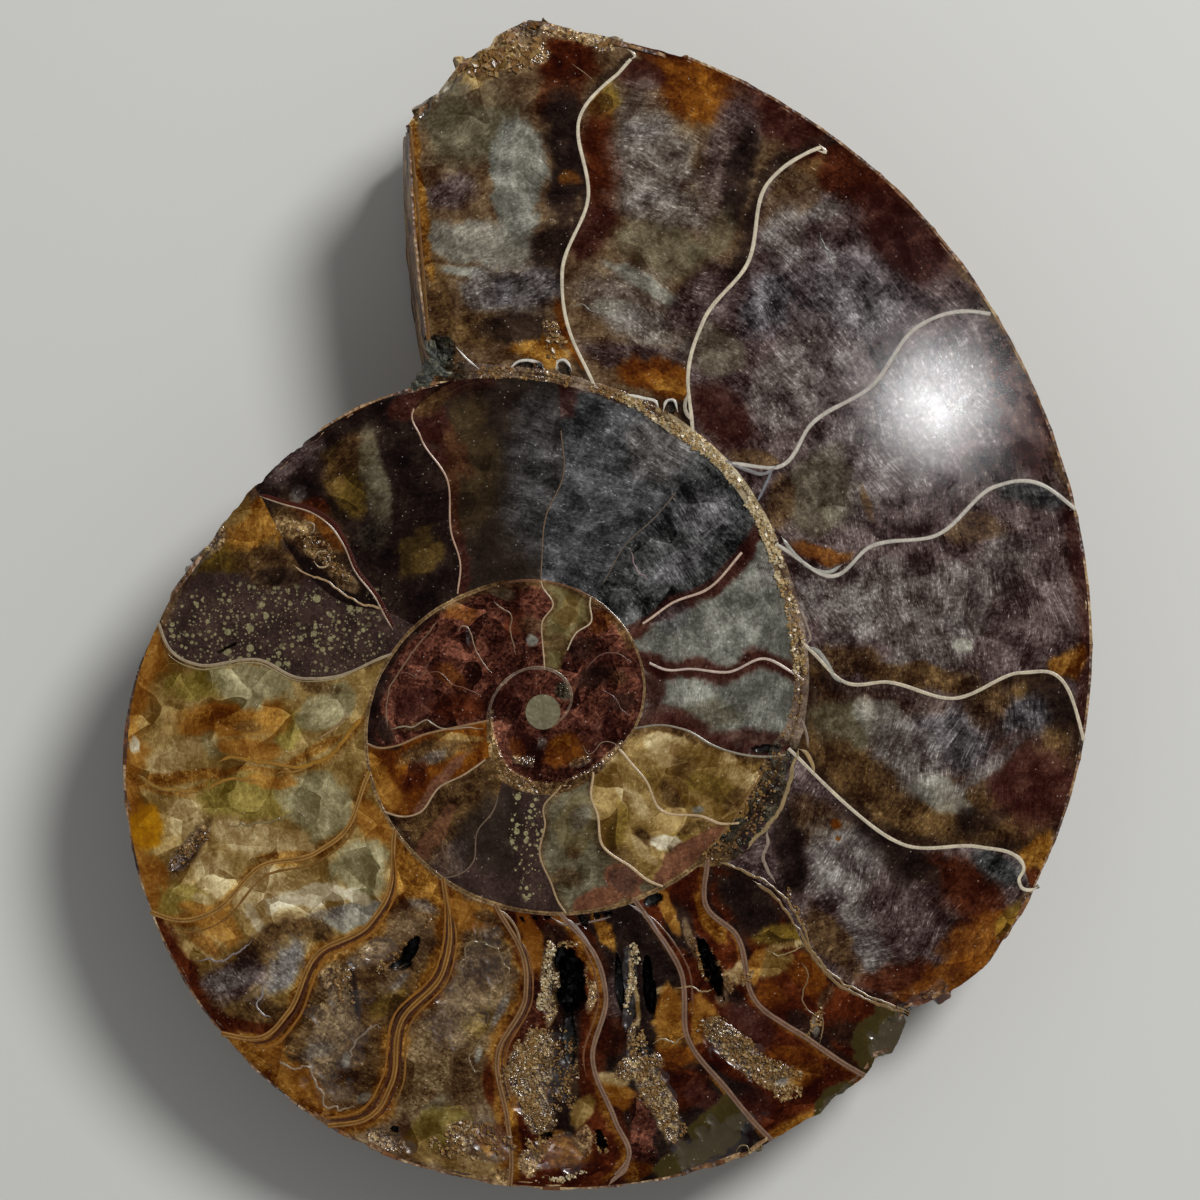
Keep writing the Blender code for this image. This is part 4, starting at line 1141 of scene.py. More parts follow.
# Along each wall: angle, how far the band reaches inwards and outwards, and its mineral
WHORL_WALLS = {
    "whorl_wall_2": [
        (-252, 0.1, 0.5, "umber"), (-256, 0.3, 1.4, "moss"), (-259, 0.3, 1.1, "taupe"),
        (-264, 0.3, 0.9, "taupe"), (-270, 0.4, 0.7, "tan"), (-277, 0.6, 0.5, "taupe"),
        (-285, 0.7, 0.4, "tan"), (-290, 1.0, 0.3, "tan"), (-294, 1.3, 0.3, "ivory"),
        (-300, 1.2, 0.2, "tan"), (-307, 0.9, 0.3, "ivory"), (-316, 0.8, 0.4, "ivory"),
        (-325, 1.0, 0.4, "tan"), (-333, 1.1, 0.4, "taupe"), (-345, 1.1, 0.5, "taupe"),
        (-358, 1.0, 0.6, "taupe"), (-365, 1.2, 0.9, "taupe"), (-369, 1.7, 1.0, "moss"),
        (-374, 1.6, 1.4, "moss"), (-380, 1.1, 1.8, "moss"), (-388, 0.8, 2.4, "moss"),
        (-395, 0.6, 2.4, "moss"), (-401, 0.5, 1.6, "umber"), (-405, 0.2, 0.3, "shell"),
        (-450, 0.17, 0.2, "shell"), (-470, 0.17, 0.4, "shell"), (-500, 0.17, 0.17, "shell"),
        (-560, 0.17, 0.17, "shell"), (-600, 0.2, 0.2, "shell"), (-615, 0.2, 0.3, "umber")],
    "whorl_wall_3": [
        (-612, 0.12, 0.12, "rose"), (-700, 0.12, 0.12, "shell"), (-740, 0.14, 0.14, "shell"),
        (-765, 0.2, 0.3, "tan"), (-790, 0.3, 0.7, "umber"), (-820, 0.5, 0.8, "tan"),
        (-850, 0.4, 0.9, "umber"), (-870, 0.3, 0.6, "tan"), (-885, 0.2, 0.3, "umber"),
        (-905, 0.14, 0.14, "taupe"), (-975, 0.14, 0.14, "taupe")],
    "whorl_wall_4": [
        (-975, 0.16, 0.16, "taupe"), (-1050, 0.16, 0.16, "taupe"), (-1135, 0.1, 0.1, "rose")],
}
CRUST_MM = 0.12
GROWTH_STRETCH = 0.6


def reaches(name, angle):
    """How far the crust of a whorl wall reaches inwards and outwards at an angle."""
    turns, inner, outer, _ = zip(*WHORL_WALLS[name])
    turns = -np.array(turns)
    return np.interp(-angle, turns, inner), np.interp(-angle, turns, outer)


for number, (name, stations) in enumerate(WHORL_WALLS.items()):
    spots_at = np.array([-a for a, *_ in stations])
    kinds = np.array([traits_of(m) for *_, m in stations])
    growth = []

    def band(s, t):
        angle = stations[0][0] + s * (stations[-1][0] - stations[0][0])
        radius = wall(angle)
        wave = 1 + 0.5 * mottle(angle * radius / RADIAN_DEG, t * 3, 0.9, 41)
        inner, outer = (reach * wave for reach in reaches(name, angle))
        radius = radius - inner + (inner + outer) * t
        x, y = on_face(radius, angle)
        growth.extend((angle * radius / RADIAN_DEG * GROWTH_STRETCH, t * 2, np.full_like(s, number)))
        rough = np.interp(-angle, spots_at, kinds[:, 8]) * (inner + outer)
        crown = 1 - (2 * t - 1) ** 4
        return x, y, surface(x, y) * 0.5 + crown * (0.02 + CRUST_MM * rough * mottle(x, y, 0.5, 42))

    run = sum(abs(b[0] - a[0]) * wall(a[0]) / RADIAN_DEG for a, b in zip(stations, stations[1:]))
    piece = skin(name, int(float(run) / GRAIN_MM), 10, band)
    face_way(piece, 1)
    x, y, _ = points_of(piece)
    angle = -(growth[0] / GROWTH_STRETCH * RADIAN_DEG / np.hypot(x, y))
    held = np.stack([np.interp(angle, spots_at, kinds[:, k]) for k in range(9)], 1)
    patchy = np.clip(0.5 + 2.2 * mottle(x, y, 1.6, 43), 0, 1)
    between = np.clip(1 - np.abs(growth[1] / 2 - 0.5) / 0.14, 0, 1) * 0.8
    held = grown_over(held, "umber", np.maximum(patchy * 0.35, between))
    painted(piece, held, growth, np.zeros(len(x)), held[:, 8] * 0.6)
    applied(piece, "SOLIDIFY", thickness=VEIN_DOWN_MM, offset=-1)
    laid(piece, polished_calcite)

# ------------------------------------------------------------------ shell lines and healed cracks
# The ends where septa curl against the rim, the pointed feet where they meet the inner whorl, the
# doubled and frayed walls of the small chambers, cracks healed with pale calcite, and the pale
# skins where one growth of crystals stopped against the next.

WHITE = "e4ddd0"
TAUPE = "a08c7c"
# Each line: width, colour and the places that it runs through
LINES = {
    "septum_ends": [
        (0.3, FRESH, "8.6 65.2, 9.2 65.6, 8.9 66, 8.4 66.3"),
        (0.1, "94744c", "2.9 64.8, 3.9 64.1, 4.9 63.3"),
        (0.3, FRESH, "27.2 56.2, 28.3 56, 28 56.4, 27.6 56.8"),
        (0.35, FRESH, "46.5 -14, 47.8 -14.8, 48.1 -15.7, 47.6 -16.8, 47.9 -17.6, 48.8 -17.8, "
                      "49.6 -17.4"),
        (0.4, BROWN, "8.6 -44.2, 8.2 -45.8, 7 -46.8, 6.5 -47.4"),
    ],
    "septum_feet": [
        (0.3, WHITE, "-3.4 34.3, -2.5 35, -1 35.1, -0.3 34.8, 0.2 34.2"),
        (0.22, WHITE, "-0.8 34.3, -0.3 34.9, 0.1 34.2"),
        (0.35, WHITE, "1.3 34.3, 1.5 35, 2 35.2, 2.6 34.7, 2.9 34.1"),
        (0.3, WHITE, "8.1 31.8, 10 31.4, 11.3 31, 11.6 30.2"),
        (0.3, WHITE, "12 30, 12.4 31.1, 13 31.2, 13.5 30"),
        (0.2, WHITE, "-8.7 36.5, -7.6 35.3, -6.4 34.3"),
        (0.4, "b5a996", "14.5 32, 14.2 30.4, 14.9 28.9"),
        (0.3, "9d8d86", "2.2 -20.5, 3.4 -21.6, 4.5 -23.1, 5.2 -24.6"),
        (0.25, "9a7c58", "-4.6 -19.6, -3.4 -20.6, -2.6 -21.8, -2.2 -23.4"),
        (0.2, "8a7466", "0.8 -20.5, 2.2 -21.3, 3.6 -21.2, 5.2 -20.9, 6.8 -20.5"),
        (0.3, "9d8d86", "8.6 -19.2, 10.4 -20.4, 11.6 -22.2, 12.6 -24"),
        (0.35, "8f8a88", "17.5 25.2, 19 24.8, 20.4 24.2, 22 23.8, 23.6 24.8"),
        (0.3, "86868a", "21.3 20.8, 22.1 22.4, 23 24.4"),
        (0.35, "b4b0a4", "23.8 17.6, 25.4 15.5, 27 14.3, 28.6 14, 30 14.8"),
        (0.25, TAUPE, "25.6 10.6, 26.4 8.6, 26.7 7.2, 26.1 6.6"),
        (0.4, "aba79c", "26.2 6.5, 27.3 6.2, 28.4 4.9, 29.2 3.5, 30.2 2.8"),
        (0.3, TAUPE, "25.8 -0.5, 26.4 -2.4, 26.5 -3.6"),
        (0.4, "b89a6c", "25.5 -3.7, 26.1 -3.9, 26.8 -4.9, 27.2 -6.2"),
    ],
    "frayed_walls": [
        (0.4, "a48c64", "25.7 -3.6, 24.7 -6.3, 24 -9, 22.9 -10.8, 21.4 -12.4, 20.4 -13.8"),
        (0.2, "8a6838", "22.3 -5, 21 -7.6, 19.6 -10, 18.2 -12, 16 -14.2"),
        (0.3, TAUPE, "22.3 -11.6, 22.3 -13, 22.1 -14.5, 22.5 -15.8, 23.3 -17"),
        (0.25, "96794e", "17.6 -14.9, 19.6 -15.8, 22 -16.7, 24.3 -18.6, 25.9 -21.2, 27 -24, 29 -26.3, "
                         "31.5 -27.8, 34 -29, 36.7 -29.9"),
        (0.3, "8a6c44", "21 -16.8, 23.4 -18.6, 25 -20.8, 26.2 -22.9, 27.6 -25.4, 29.6 -27.2, "
                        "32.2 -28.6, 34.8 -29.6, 36.5 -30.1"),
        (0.25, "9a7030", "-22.8 -5.2, -25 -5.9, -26.7 -6.3"),
        (0.4, "a8782c", "-17.9 -0.5, -19.5 -2.4, -22 -4.8, -24 -5.4, -27 -5.2, -29.5 -4.7, "
                        "-31.5 -4.6, -32.5 -4.9"),
        (0.3, "a8782c", "-28.5 -6.9, -30 -6.6, -31.5 -6.8, -33.8 -7.7"),
        (0.35, "a47a34", "-40.5 -6.3, -39 -7.4, -37 -7.7, -34.5 -7.8"),
        (0.22, "a8885c", "-22.5 -2.5, -20.5 -1.3, -19.3 0.2"),
        (0.2, STAINED, "-25 14.5, -24 13.9, -22 13.2, -20 11.8, -17.5 10.7, -15.6 10.2"),
    ],
    "shell_of_chamber_17": [
        (0.5, "4a1d12", "-28.6 21.8, -26 21, -23 20.2, -21.3 19.2, -19.8 17, -18.6 14.2, -16.5 11.5, "
                        "-15.5 9.5, -14.7 8.2"),
        (0.18, "b99f84", "-28.4 21.6, -26 20.8, -23.1 19.9, -21.6 18.9, -20 16.8, -18.8 14.1, "
                         "-16.7 11.3, -15.7 9.4, -15 8.2"),
    ],
    "healed_cracks": [
        (0.1, "948c80", "3 40.4, 3.9 40.5, 4.6 40.1, 6 40"),
        (0.14, "8c8886", "27.8 48, 28 47.2, 28.7 46.3, 28.8 45.2, 29.4 44.2"),
        (0.14, "9a8458", "22.5 -23.9, 23.6 -24.3, 25 -23.8, 26.3 -23.2"),
        (0.13, "8a6c48", "26 -25, 26.5 -26.6, 26.1 -28.2, 26.6 -30, 27.9 -30.7, 27.7 -32.5, "
                         "27.5 -33.2"),
        (0.16, "a88c60", "13.3 -27.7, 14.6 -27.4, 15.9 -27.8, 17.3 -27.7"),
        (0.18, "a88c60", "11 -33.2, 12 -32.7, 12.9 -33.1, 14.2 -32.3"),
        (0.14, "a08484", "8.5 16.5, 9.5 14.2, 10.5 13"),
    ],
    "crystal_skins": [
        (0.2, "9c8468", "-26.4 -34.4, -25.4 -35.3, -23.6 -35.8, -22.6 -37.2, -22.2 -38.8, "
                        "-20.8 -39.6, -19.2 -39.2"),
        (0.18, "8f7c66", "-16.3 -31.8, -17.4 -31.8, -18.6 -32.6, -19.4 -33.9, -19.6 -35.2"),
        (0.16, "7c6244", "-19.4 -25.4, -17.2 -25, -15.6 -26.2, -13.8 -25.6"),
        (0.18, "85704e", "-8.2 -26.6, -8 -24.6, -6.6 -22.9, -4.9 -23.3, -3.9 -25.2, -3.6 -27.4, "
                         "-4.2 -29.4"),
        (0.16, "85704e", "-5.8 -32.6, -6.8 -33.6, -7 -35.2, -6.2 -36.2"),
        (0.16, "968c88", "-27.6 -26.8, -28.4 -28.2, -28.8 -29.6, -27.4 -30.4"),
        (0.16, "8c7e78", "-34.6 -24.8, -33.2 -24.6, -31.8 -24.9, -30.4 -24.1, -29.2 -22.8"),
        (0.14, "8a7a50", "-31.6 -10.9, -29 -11.2, -26.6 -10.6, -24.6 -9.8, -23 -10.4"),
    ],
    "small_shells": [
        (0.18, "b8a07c", "-22.9 15.3, -22.5 16, -21.7 16, -21.3 15.3, -21.6 14.6, -22.4 14.5, "
                         "-22.9 15.1"),
        (0.12, "a58e6c", "-22.4 15.3, -22 15.7, -21.7 15.2, -22.1 14.9"),
        (0.14, "b8a07c", "-20 13.4, -19.7 13.8, -19.3 13.5, -19.5 13.1, -19.9 13.2"),
        (0.14, "a0896a", "-24 18.4, -23.5 19, -22.9 18.7, -23 18, -23.7 17.9"),
        (0.14, "8d7a4c", "19.3 -44, 19.7 -43.4, 20.4 -43.4, 20.6 -44, 20.1 -44.4, 19.5 -44.2"),
        (0.12, "8d7a4c", "21.2 -43.5, 21.5 -43.1, 21.9 -43.4, 21.6 -43.8, 21.3 -43.7"),
        (0.12, "a89878", "-6.5 -41, -6.2 -40.7, -5.9 -41, -6.2 -41.3, -6.5 -41.1"),
    ],
    "inner_lines": [
        (0.14, "a8947a", "-15.3 -1.7, -13.8 -1.5, -12.6 -1.3, -11.8 -0.8, -10.9 -1.2, -9.4 -1.8, "
                         "-7.6 -1.6, -6 -1.7"),
        (0.16, "8a6a50", "-15.6 -1.4, -15.7 0.6, -15.3 2.6, -14.4 3.9, -13.4 5.4, -12 7.4, -10.4 9.2"),
        (0.13, "a08468", "-8.5 8, -8.2 8.5, -7.6 8.4, -7.2 7.8, -6.9 6.8, -6.4 5.6, -5.9 4.8, -5.2 4"),
        (0.12, "94785a", "-4.9 11.1, -4.1 10.4, -3.3 10, -3.1 9.2, -3.3 8.4, -3 7, -2.8 5.8"),
        (0.1, "7c4c36", "-11.9 4, -10.2 3.8, -9 2.7, -7.5 2.3, -6.2 1.5"),
        (0.1, "744c3a", "-14.9 3.6, -13.5 4, -12.4 3.5, -11.6 4.4, -11.2 5.2"),
        (0.1, "7a5648", "4.2 4.2, 5 5.1, 6.1 5.9, 7.8 5.7, 8.8 5.1"),
        (0.1, "6e5048", "6 2.2, 7.2 1.4, 7.9 0.2, 8.8 -0.4"),
        (0.1, "8c7258", "3.9 -3.4, 4.5 -4.2, 5 -4, 6 -3, 7 -3, 7.6 -3.6"),
    ],
    "mouth_edge": [
        (0.3, "7a5428", "-11.3 36, -11.9 43, -12.6 51, -13.3 58.6"),
    ],
}
# How far the lines wander as they follow the crystals
WANDER_MM = {"crystal_skins": 1.5, "healed_cracks": 0.8, "frayed_walls": 0.6, "inner_lines": 0.4}
# Second strands that run beside a septum: name, how far in degrees, from and to across, width, tone
STRANDS = [
    ("s12", -0.8, 0.05, 1.0, 0.22, "4e2608"), ("s13", 0.85, 0.05, 0.95, 0.24, "4e2608"),
    ("s12", 0.8, 0.1, 0.9, 0.2, "4e2608"), ("s11", 0.8, 0.1, 0.7, 0.16, "4e2a14"),
    ("s12", -1.5, 0.05, 1.0, 0.25, "9a641e"), ("s13", 1.7, 0.05, 0.95, 0.28, "9a641e"),
    ("s14", 1.9, 0.1, 0.95, 0.2, "8a5c1e"), ("s11", 1.4, 0.1, 0.7, 0.2, "84552a"),
    ("s10", -1.5, 0.1, 0.6, 0.2, "7c4e2c"), ("s12", 1.6, 0.1, 0.9, 0.2, "8f6020"),
    ("s16", 0.7, 0.1, 0.9, 0.15, "a39064"), ("s9", 1.6, 0.05, 0.45, 0.2, "74492c"),
]

for name, lines in LINES.items():
    wander = WANDER_MM.get(name, 0.0)
    drawn = [vein("line", rows(points), w, c, ragged=0.3 + 0.5 * wander, taper=0.9, wander=wander)
             for w, c, points in lines]
    laid(joined(name, drawn), aragonite)
strands = []
for name, turn, low_end, high_end, width, colour in STRANDS:
    t = np.linspace(low_end, high_end, 30)
    x, y = coil_point(through(ACROSS, SEPTA[name], t) + turn * ease(t * 6), t, 0.2)
    strands.append(vein("strand", list(zip(x, y)), width, colour, ragged=0.5, taper=1.5))
laid(joined("septum_strands", strands), aragonite)

# ------------------------------------------------------------------ the broken edges
# Where the half broke before it was cut: the mouth, the corner above it, and the chipped rim at the
# lower right. Rough calcite and shell, unpolished, down to the flank.


CLIFF_GRAIN_MM = 0.25
CLIFF_MM = 0.5


def depth_at(angle, radius):
    """How far the flank lies under the cut, at a place on the outermost whorl there."""
    edge = wall(angle)
    crest = edge * CREST
    out = np.clip((radius - crest) / (edge - crest), 0, 1)
    back = np.clip((crest - radius) / (crest - edge * UMBILICUS), 0, 1)
    outer = (1 - out ** FLANK_POWER) ** (1 / FLANK_POWER)
    inner = (1 - back ** SHOULDER_POWER) ** (1 / SHOULDER_POWER)
    return edge * FLANK_DEPTH * np.where(radius > crest, outer, inner)


def cliff(name, radius, angle, top, bottom, lean, rough, seed, tuck=0):
    """A broken edge: a rough wall from the face down to the flank, and tuck mm in under it."""
    def bent(s, t):
        k = s * (len(radius) - 1)
        index = np.arange(len(radius))
        r = np.interp(k, index, radius) - tuck * t * t
        a = np.interp(k, index, angle)
        high = np.interp(k, index, top)
        low = np.interp(k, index, bottom)
        z = high + (low - high) * t
        free = np.sin(np.pi * np.clip(t, 0, 1)) ** 0.5
        run = np.interp(k, index, steps)
        out = rough * free * (mottle(run, z, 3.0, seed, 5) + 0.5 * mottle(run, z, 0.9, seed + 1, 3))
        if lean:
            x, y = on_face(r, a)
            return x + lean * (z - high) - out, y, z
        return *on_face(r + out, a), z

    px, py = on_face(radius, angle)
    steps = np.concatenate([[0], np.cumsum(np.hypot(np.diff(px), np.diff(py)))])
    tall = float(np.max(top - bottom))
    piece = skin(name, int(steps[-1] / CLIFF_GRAIN_MM), max(int(tall / CLIFF_GRAIN_MM), 6), bent)
    outward = Vector((-1, 0, 0)) if lean else Vector((px.mean(), py.mean(), 0))
    facing = sum((p.normal * p.area for p in piece.data.polygons), Vector())
    if facing.dot(outward) < 0:
        piece.data.flip_normals()
    applied(piece, "SOLIDIFY", thickness=CLIFF_MM, offset=-1)
    return piece


# Broken calcite: rough and dull between small bright crystal faces of 0.5 mm, stained brown by the
# shell in lumps of 4 mm.
material, tree, shader, place = new_material("broken_calcite")
lumps = add(tree, "TexNoise", {"Vector": place, "Scale": 0.25, "Detail": 8, "Roughness": 0.65})
chips = add(tree, "TexVoronoi", {"Vector": place, "Scale": 1.9})
lumpy = add(tree, "MapRange", {0: lumps, 1: 0.25, 2: 0.75})
chipped = add(tree, "SeparateColor", {0: chips.outputs["Color"]})
lumpy, chipped = (add(tree, "Math", {0: part, 1: share}, operation="MULTIPLY")
                  for part, share in ((lumpy, 0.82), (chipped, 0.18)))
mixed = add(tree, "Math", {0: lumpy, 1: chipped}, operation="ADD")
tone = add(tree, "ValToRGB", {0: mixed}, stops=[
    (0.2, "1c0f08"), (0.38, "3f230e"), (0.5, "6a4520"), (0.62, "866642"), (0.8, "a68d62")])
bump = add(tree, "Bump", {"Height": chips.outputs["Distance"], "Strength": 0.6, "Distance": 0.3 * MM})
plug(shader, {"Base Color": tone, "Normal": bump, "Roughness": 0.5, "IOR": 1.55})
broken_calcite = material

MOUTH_STEPS = 60
radius = np.linspace(MOUTH_LINE[0][0], float(rim(MOUTH_DEG)), MOUTH_STEPS)
mouth_angle = np.interp(radius, *zip(*MOUTH_LINE))
mouth = cliff("mouth_break", radius, mouth_angle, surface(*on_face(radius, mouth_angle)),
              -depth_at(np.full(MOUTH_STEPS, MOUTH_DEG), radius), MOUTH_LEAN, 0.5, 51)
laid(mouth, broken_calcite)

# Each stretch of broken rim: from and to in degrees, roughness in mm and noise seed. It is tucked in
# at its foot, so that it meets the flank, which starts lower where the rim is worn.
TUCK_MM = 0.8
BROKEN_RIM = (("corner_break", 103.2, 77.5, 0.7, 53), ("flaked_rim_right", 77.5, -26.5, 0.2, 57),
              ("rim_chips", -26.5, -64.5, 0.7, 55), ("flaked_rim_left", -64.5, -255.0, 0.25, 59))
for name, first, last, rough, seed in BROKEN_RIM:
    angle = np.linspace(first, last, int((first - last) * 3.2))
    radius = rim(angle)
    height = surface(*on_face(radius, angle))
    foot = np.minimum(-depth_at(angle, radius - 0.6), height - 0.3)
    laid(cliff(name, radius - 0.05, angle, height - 0.04, foot, 0, rough, seed, TUCK_MM),
         broken_calcite)

# ------------------------------------------------------------------ druzy crystals
# Small calcite crystals that line the open pockets and the worn hollows: cream to honey brown,
# clear enough to glint, and stuck on as they grew, pointing every way.

# Patches: middle, length, width, turn, crystals to a square mm, size in mm, paleness
DRUSE = [
    (0.5, -26.6, 7.5, 1.4, 86, 34, 0.24, 1.5), (4.6, -26.5, 6.5, 0.6, 105, 20, 0.22, 0.5),
    (2.6, -23.1, 2.4, 1.0, 10, 24, 0.24, 0.8), (8.8, -26.8, 9.4, 1.0, 88, 30, 0.24, 1.4),
    (15.6, -24.6, 6.0, 0.8, -68, 24, 0.24, 0.6), (17.9, -26.2, 5.0, 0.8, -68, 18, 0.24, 0.5),
    (-15.0, -24.4, 5.0, 1.2, 45, 12, 0.24, 0.5), (-11.6, -21.6, 4.0, 1.2, 70, 12, 0.22, 0.5),
    (-1.6, -34.6, 8.0, 3.8, 70, 30, 0.24, 0.8), (-1.0, -39.8, 7.0, 2.6, -70, 28, 0.22, 0.8),
    (1.5, -37.0, 12, 4.0, 88, 10, 0.2, 0.7), (9.8, -35.4, 5.0, 2.6, 15, 26, 0.22, 0.6),
    (11.6, -39.0, 9.6, 3.2, -62, 26, 0.22, 0.6), (9.6, -33.0, 5.0, 1.2, 70, 24, 0.22, 0.8),
    (18.6, -33.0, 6.5, 3.4, -30, 26, 0.22, 0.6), (22.6, -36.0, 7.0, 3.4, -30, 26, 0.22, 0.6),
    (24.8, -37.4, 4.0, 2.6, 30, 16, 0.26, 0.9), (-20.4, -27.2, 3.0, 3.4, 0, 14, 0.24, 0.6),
    (-18.9, -27.8, 5.0, 0.6, 100, 24, 0.24, 0.7), (-35.6, -13.8, 6.4, 1.4, 48, 20, 0.26, 0.4),
    (-4.5, 66.2, 11, 5.0, 14, 5, 0.6, 0.6), (3.5, 67.6, 8, 1.8, -14, 6, 0.45, 0.5),
    (-21.9, 15.8, 9.0, 1.8, -45, 12, 0.24, 0.4), (0.8, 37.4, 4.4, 2.4, -60, 6, 0.4, 0.6),
    (5.8, -43.0, 3.4, 1.8, 105, 16, 0.22, 0.5), (-0.4, -43.2, 4.0, 2.0, 0, 12, 0.3, 0.6),
    (-6.0, -42.4, 7.0, 3.0, -20, 12, 0.3, 0.6), (2.6, -46.4, 7.0, 0.5, 8, 26, 0.22, 1.5),
    (38.5, -28.6, 5.0, 1.2, 30, 8, 0.35, 0.5), (-34, 17, 7, 1.2, 58, 8, 0.4, 0.5),
    (27.2, -31.4, 4.0, 1.4, 75, 16, 0.24, 0.8), (25.4, -19.8, 6.0, 0.8, -60, 20, 0.24, 0.6),
    (19.8, -26.4, 3.0, 1.4, 60, 20, 0.26, 0.6), (-9.5, -43.8, 6.0, 2.2, -15, 10, 0.3, 0.7),
]
# Along the walls between whorls: from and to in degrees, then the same last three
RING_DRUSE = [(-284, -298, 26, 0.32, 1.3), (-298, -332, 26, 0.34, 1.5), (-332, -352, 14, 0.3, 1.2),
              (-345, -366, 6, 0.2, 0.8), (-368, -402, 10, 0.24, 0.5), (-255, -284, 12, 0.26, 0.6),
              (-790, -870, 16, 0.2, 0.6)]
PATCH_FILL = 1.8
RING_FILL = 1.6


def turned_about(px, py, dx, dy, turn):
    """Places at dx and dy from a middle, turned about it."""
    c = math.cos(math.radians(turn))
    n = math.sin(math.radians(turn))
    return px + dx * c - dy * n, py + dx * n + dy * c


random = np.random.default_rng(7)
spots = []
for px, py, long, wide, turn, dense, size, pale in DRUSE:
    count = int(long * wide * 0.785 * dense * PATCH_FILL)
    far = np.sqrt(random.random(count))
    around = random.random(count) * 2 * np.pi
    dx = far * np.cos(around) * long / 2
    dy = far * np.sin(around) * wide / 2
    x, y = turned_about(px, py, dx, dy, turn)
    keep = mottle(x, y, 1.0, 61) + 0.35 * (0.7 - far) > 0
    x, y = x + 1.6 * mottle(x, y, 2.4, 63, 3), y + 1.6 * mottle(x, y, 2.4, 64, 3)
    spots += [(a, b, size, pale) for a, b in zip(x[keep], y[keep])]
for first, last, dense, size, pale in RING_DRUSE:
    count = int(abs(last - first) * wall(first) / RADIAN_DEG * 1.2 * dense * RING_FILL)
    angle = first + (last - first) * random.random(count)
    inner, outer = reaches("whorl_wall_2" if first > -700 else "whorl_wall_3", angle)
    radius = wall(angle) - inner + (inner + outer) * random.random(count) ** 1.3 * 0.8
    x, y = on_face(radius, angle)
    keep = mottle(x, y, 1.8, 62) > -0.05
    spots += [(a, b, size, pale) for a, b in zip(x[keep], y[keep])]
spots = np.array(spots)
angle = np.degrees(np.arctan2(spots[:, 1], spots[:, 0]))
angle = np.where(angle > MOUTH_DEG, angle - 360, angle)
spots = spots[np.hypot(spots[:, 0], spots[:, 1]) < rim(angle) - 0.5]

# One crystal, a block drawn out from corner to corner, turned every way at each place
bpy.ops.object.select_all(action="DESELECT")
bpy.ops.mesh.primitive_cube_add(size=1)
crystal_piece = bpy.context.object
corners = np.array([v.co for v in crystal_piece.data.vertices])
faces = np.array([list(p.vertices) for p in crystal_piece.data.polygons])
long_way = np.ones(3) / math.sqrt(3)
corners = corners + np.outer(corners @ long_way, long_way) * 0.7
bpy.data.objects.remove(crystal_piece)

CRYSTAL_TOP_MM = 0.22
count = len(spots)
spin = random.normal(size=(count, 4))
spin /= np.linalg.norm(spin, axis=1)[:, None]
w, i, j, k = spin.T
turns = np.array([
    [1 - 2 * (j * j + k * k), 2 * (i * j - k * w), 2 * (i * k + j * w)],
    [2 * (i * j + k * w), 1 - 2 * (i * i + k * k), 2 * (j * k - i * w)],
    [2 * (i * k - j * w), 2 * (j * k + i * w), 1 - 2 * (i * i + j * j)]]).transpose(2, 0, 1)
sizes = spots[:, 2] * (0.3 + 0.6 * random.random(count) ** 2)
middle = np.stack([spots[:, 0], spots[:, 1],
                   surface(spots[:, 0], spots[:, 1]) + 0.1 * sizes], 1)
points = np.einsum("nab,cb->nca", turns, corners) * sizes[:, None, None] + middle[:, None, :]
points[:, :, 2] = np.minimum(points[:, :, 2], CRYSTAL_TOP_MM)
every = (faces[None, :, :] + 8 * np.arange(count)[:, None, None]).reshape(-1, 4)
mesh = bpy.data.meshes.new("druse")
mesh.from_pydata(points.reshape(-1, 3).tolist(), [], every.tolist())
druse = bpy.data.objects.new("druse", mesh)
bpy.context.scene.collection.objects.link(druse)
shades = np.array([(*linear(c), 1) for c in ("5c3816", "8a6432", "ab8c58", "d8c9a4")])
pick = np.clip(spots[:, 3] * 0.55 + random.normal(0, 0.14, count), 0, 0.999) * 3
lower = pick.astype(int)
part = (pick - lower)[:, None]
tones = shades[lower] * (1 - part) + shades[lower + 1] * part
layer = mesh.attributes.new("tone", "FLOAT_COLOR", "POINT")
layer.data.foreach_set("color", np.repeat(tones, 8, axis=0).ravel())

# Druzy calcite: glassy crystal faces over cream to brown stone, clouded every 0.3 mm.
material, tree, shader, place = new_material("druzy_calcite")
tone = add(tree, "Attribute", {}, attribute_name="tone").outputs["Color"]
clouds = add(tree, "TexNoise", {"Vector": place, "Scale": 3.0, "Detail": 2})
cloudy = add(tree, "MapRange", {0: clouds, 1: 0.0, 2: 0.7})
shade = add(tree, "Mix", {0: 1.0, 6: tone, 7: cloudy}, data_type="RGBA", blend_type="MULTIPLY")
plug(shader, {"Base Color": shade.outputs[2], "Roughness": 0.3, "IOR": 1.55})
laid(druse, material, crease=5)

# ------------------------------------------------------------------ shell crumbs at the mouth
# A few crumbs of dark weathered shell that stuck where the mouth meets the inner whorl. They are
# pitted calcite, held by the mud that they lay in.

